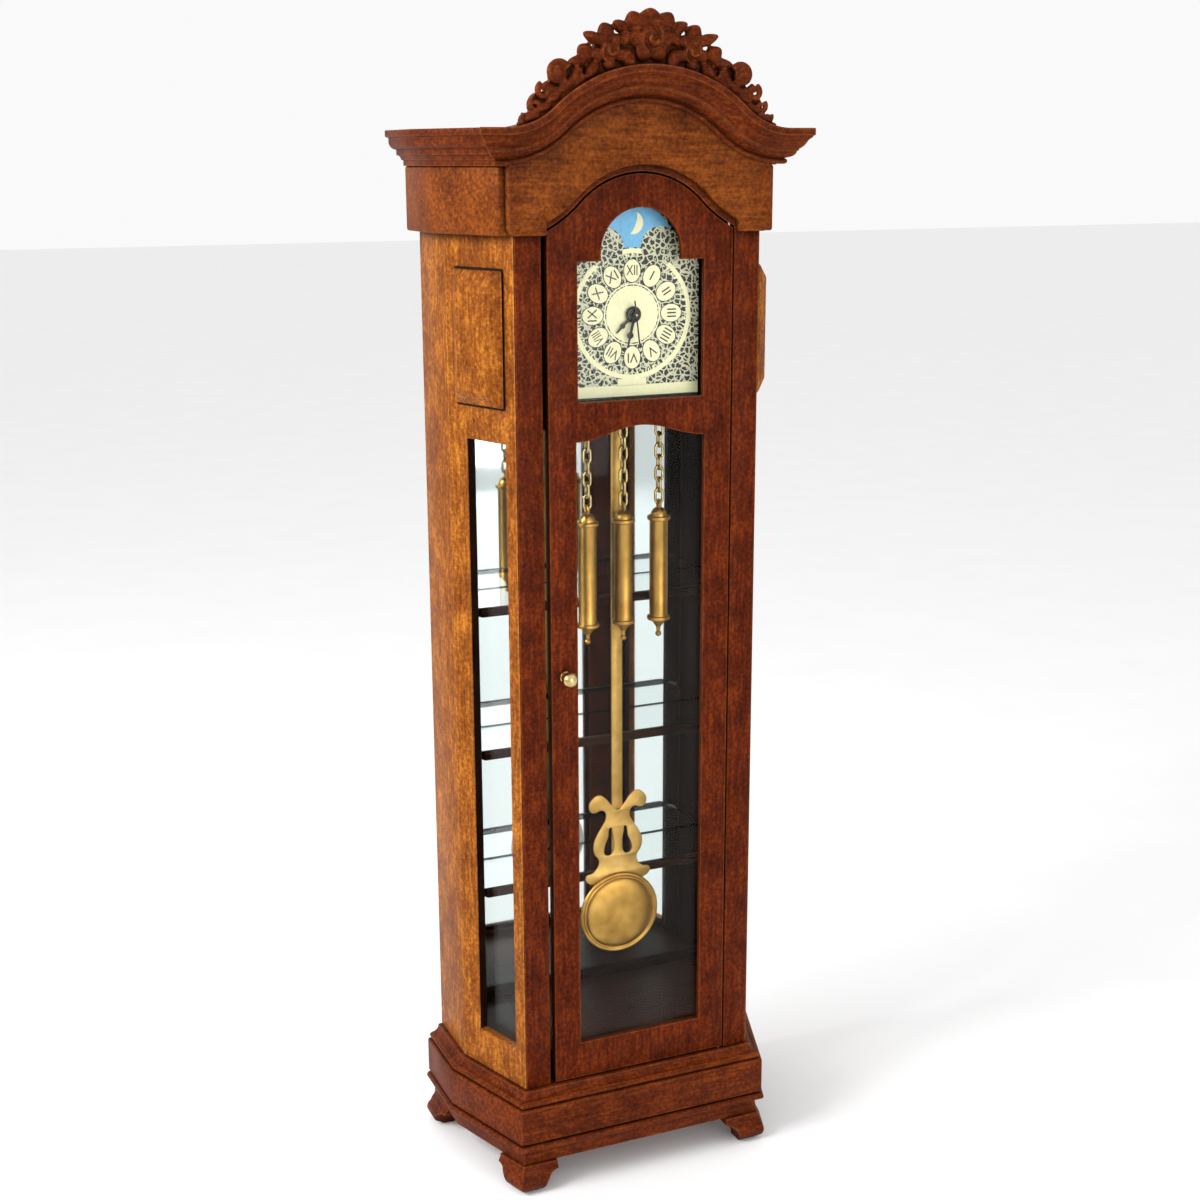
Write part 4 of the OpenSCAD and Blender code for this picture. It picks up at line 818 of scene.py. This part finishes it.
# right half of the lyre's outline from the bob's centre, in millimetres, then its slot
lyre_half = [
    (0, 4.6), (3.4, 4.9), (5.2, 5.7), (5.2, 6.5), (4.2, 6.8), (3.3, 7.7), (3.1, 8.8), (3.8, 10.0),
    (4.0, 11.3), (3.4, 12.9), (2.5, 14.3), (1.9, 15.6), (2.1, 16.6), (2.9, 17.0), (3.7, 16.7), (4.4, 16.9),
    (4.7, 17.8), (4.2, 18.8), (3.2, 19.3), (2.2, 18.8), (1.2, 17.6), (0, 16.6),
]
slot_outline = [(0.95, 9.6), (1.6, 9.3), (2.3, 9.7), (2.35, 10.7), (1.75, 12.3), (1.15, 14.0), (0.9, 13.2)]


def closed_spline(curve, points):
    """Adds a smooth closed outline to a flat curve."""
    spline = curve.splines.new("BEZIER")
    spline.bezier_points.add(len(points) - 1)
    for point, (x, z) in zip(spline.bezier_points, points):
        point.co = (x * MM, z * MM, 0)
        point.handle_left_type = point.handle_right_type = "AUTO"
    spline.use_cyclic_u = True
    spline.resolution_u = 6


bpy.ops.curve.primitive_bezier_circle_add()
lyre = bpy.context.object
lyre.name = "stamped_lyre"
lyre.data.splines.clear()
lyre.data.dimensions = "2D"
lyre.data.fill_mode = "BOTH"
lyre_t = lyre_high.y - lyre_low.y
ease_r = 0.07 * MM
lyre.data.extrude = lyre_t / 2 - ease_r
lyre.data.bevel_depth = ease_r
lyre.data.bevel_resolution = 1
closed_spline(lyre.data, lyre_half + [(-x, z) for x, z in reversed(lyre_half[1:-1])])
closed_spline(lyre.data, slot_outline)
closed_spline(lyre.data, [(-x, z) for x, z in slot_outline])
bpy.ops.object.convert(target="MESH")
lyre = bpy.context.object
lyre_y = (lyre_low.y + lyre_high.y) / 2
lyre.matrix_world = Matrix.Translation((bob.x, lyre_y, bob.z)) @ Matrix.Rotation(math.radians(90), 4, "X")
bpy.ops.object.transform_apply(location=True, rotation=True, scale=True)
bpy.ops.object.mode_set(mode="EDIT")
bpy.ops.mesh.select_all(action="SELECT")
bpy.ops.mesh.remove_doubles(threshold=0.001 * MM)
bpy.ops.object.mode_set(mode="OBJECT")
turn_out()
bpy.ops.object.shade_smooth_by_angle(angle=crease)
fit(lyre, stamped_brass, "pendulum", "pendulum_lyre")

back_y = bob_high.y
dome_r = bob_r - 0.85
dome_foot = 0.55
dome_h = (bob_high.y - bob_low.y) / MM - dome_foot
bob_profile = (
    [(0, 0), (bob_r - 0.3, 0)]
    + arc_points(bob_r - 0.3, 0.3, 0.3, -60, 130, 8)
    + arc_points(bob_r - 0.68, 0.5, 0.2, 50, 150, 5)
    + [(dome_r * math.cos(math.radians(a)), dome_foot + dome_h * math.sin(math.radians(a)))
       for a in range(6, 90, 7)]
    + [(0, dome_foot + dome_h)]
)
mesh = bpy.data.meshes.new("domed_bob")
mesh.from_pydata([(bob.x + r * MM, back_y - y * MM, bob.z) for r, y in bob_profile],
                 [(i, i + 1) for i in range(len(bob_profile) - 1)], [])
domed_bob = bpy.data.objects.new("domed_bob", mesh)
scene.collection.objects.link(domed_bob)
take_up(domed_bob)
bpy.ops.object.mode_set(mode="EDIT")
bpy.ops.mesh.select_all(action="SELECT")
bpy.ops.mesh.spin(steps=72, angle=2 * math.pi, center=(bob.x, back_y, bob.z), axis=(0, 1, 0))
bpy.ops.mesh.select_all(action="SELECT")
bpy.ops.mesh.remove_doubles(threshold=0.002 * MM)
bpy.ops.object.mode_set(mode="OBJECT")
turn_out()
bpy.ops.object.shade_smooth_by_angle(angle=crease)
fit(domed_bob, aged_brass, "pendulum", "pendulum_bob")
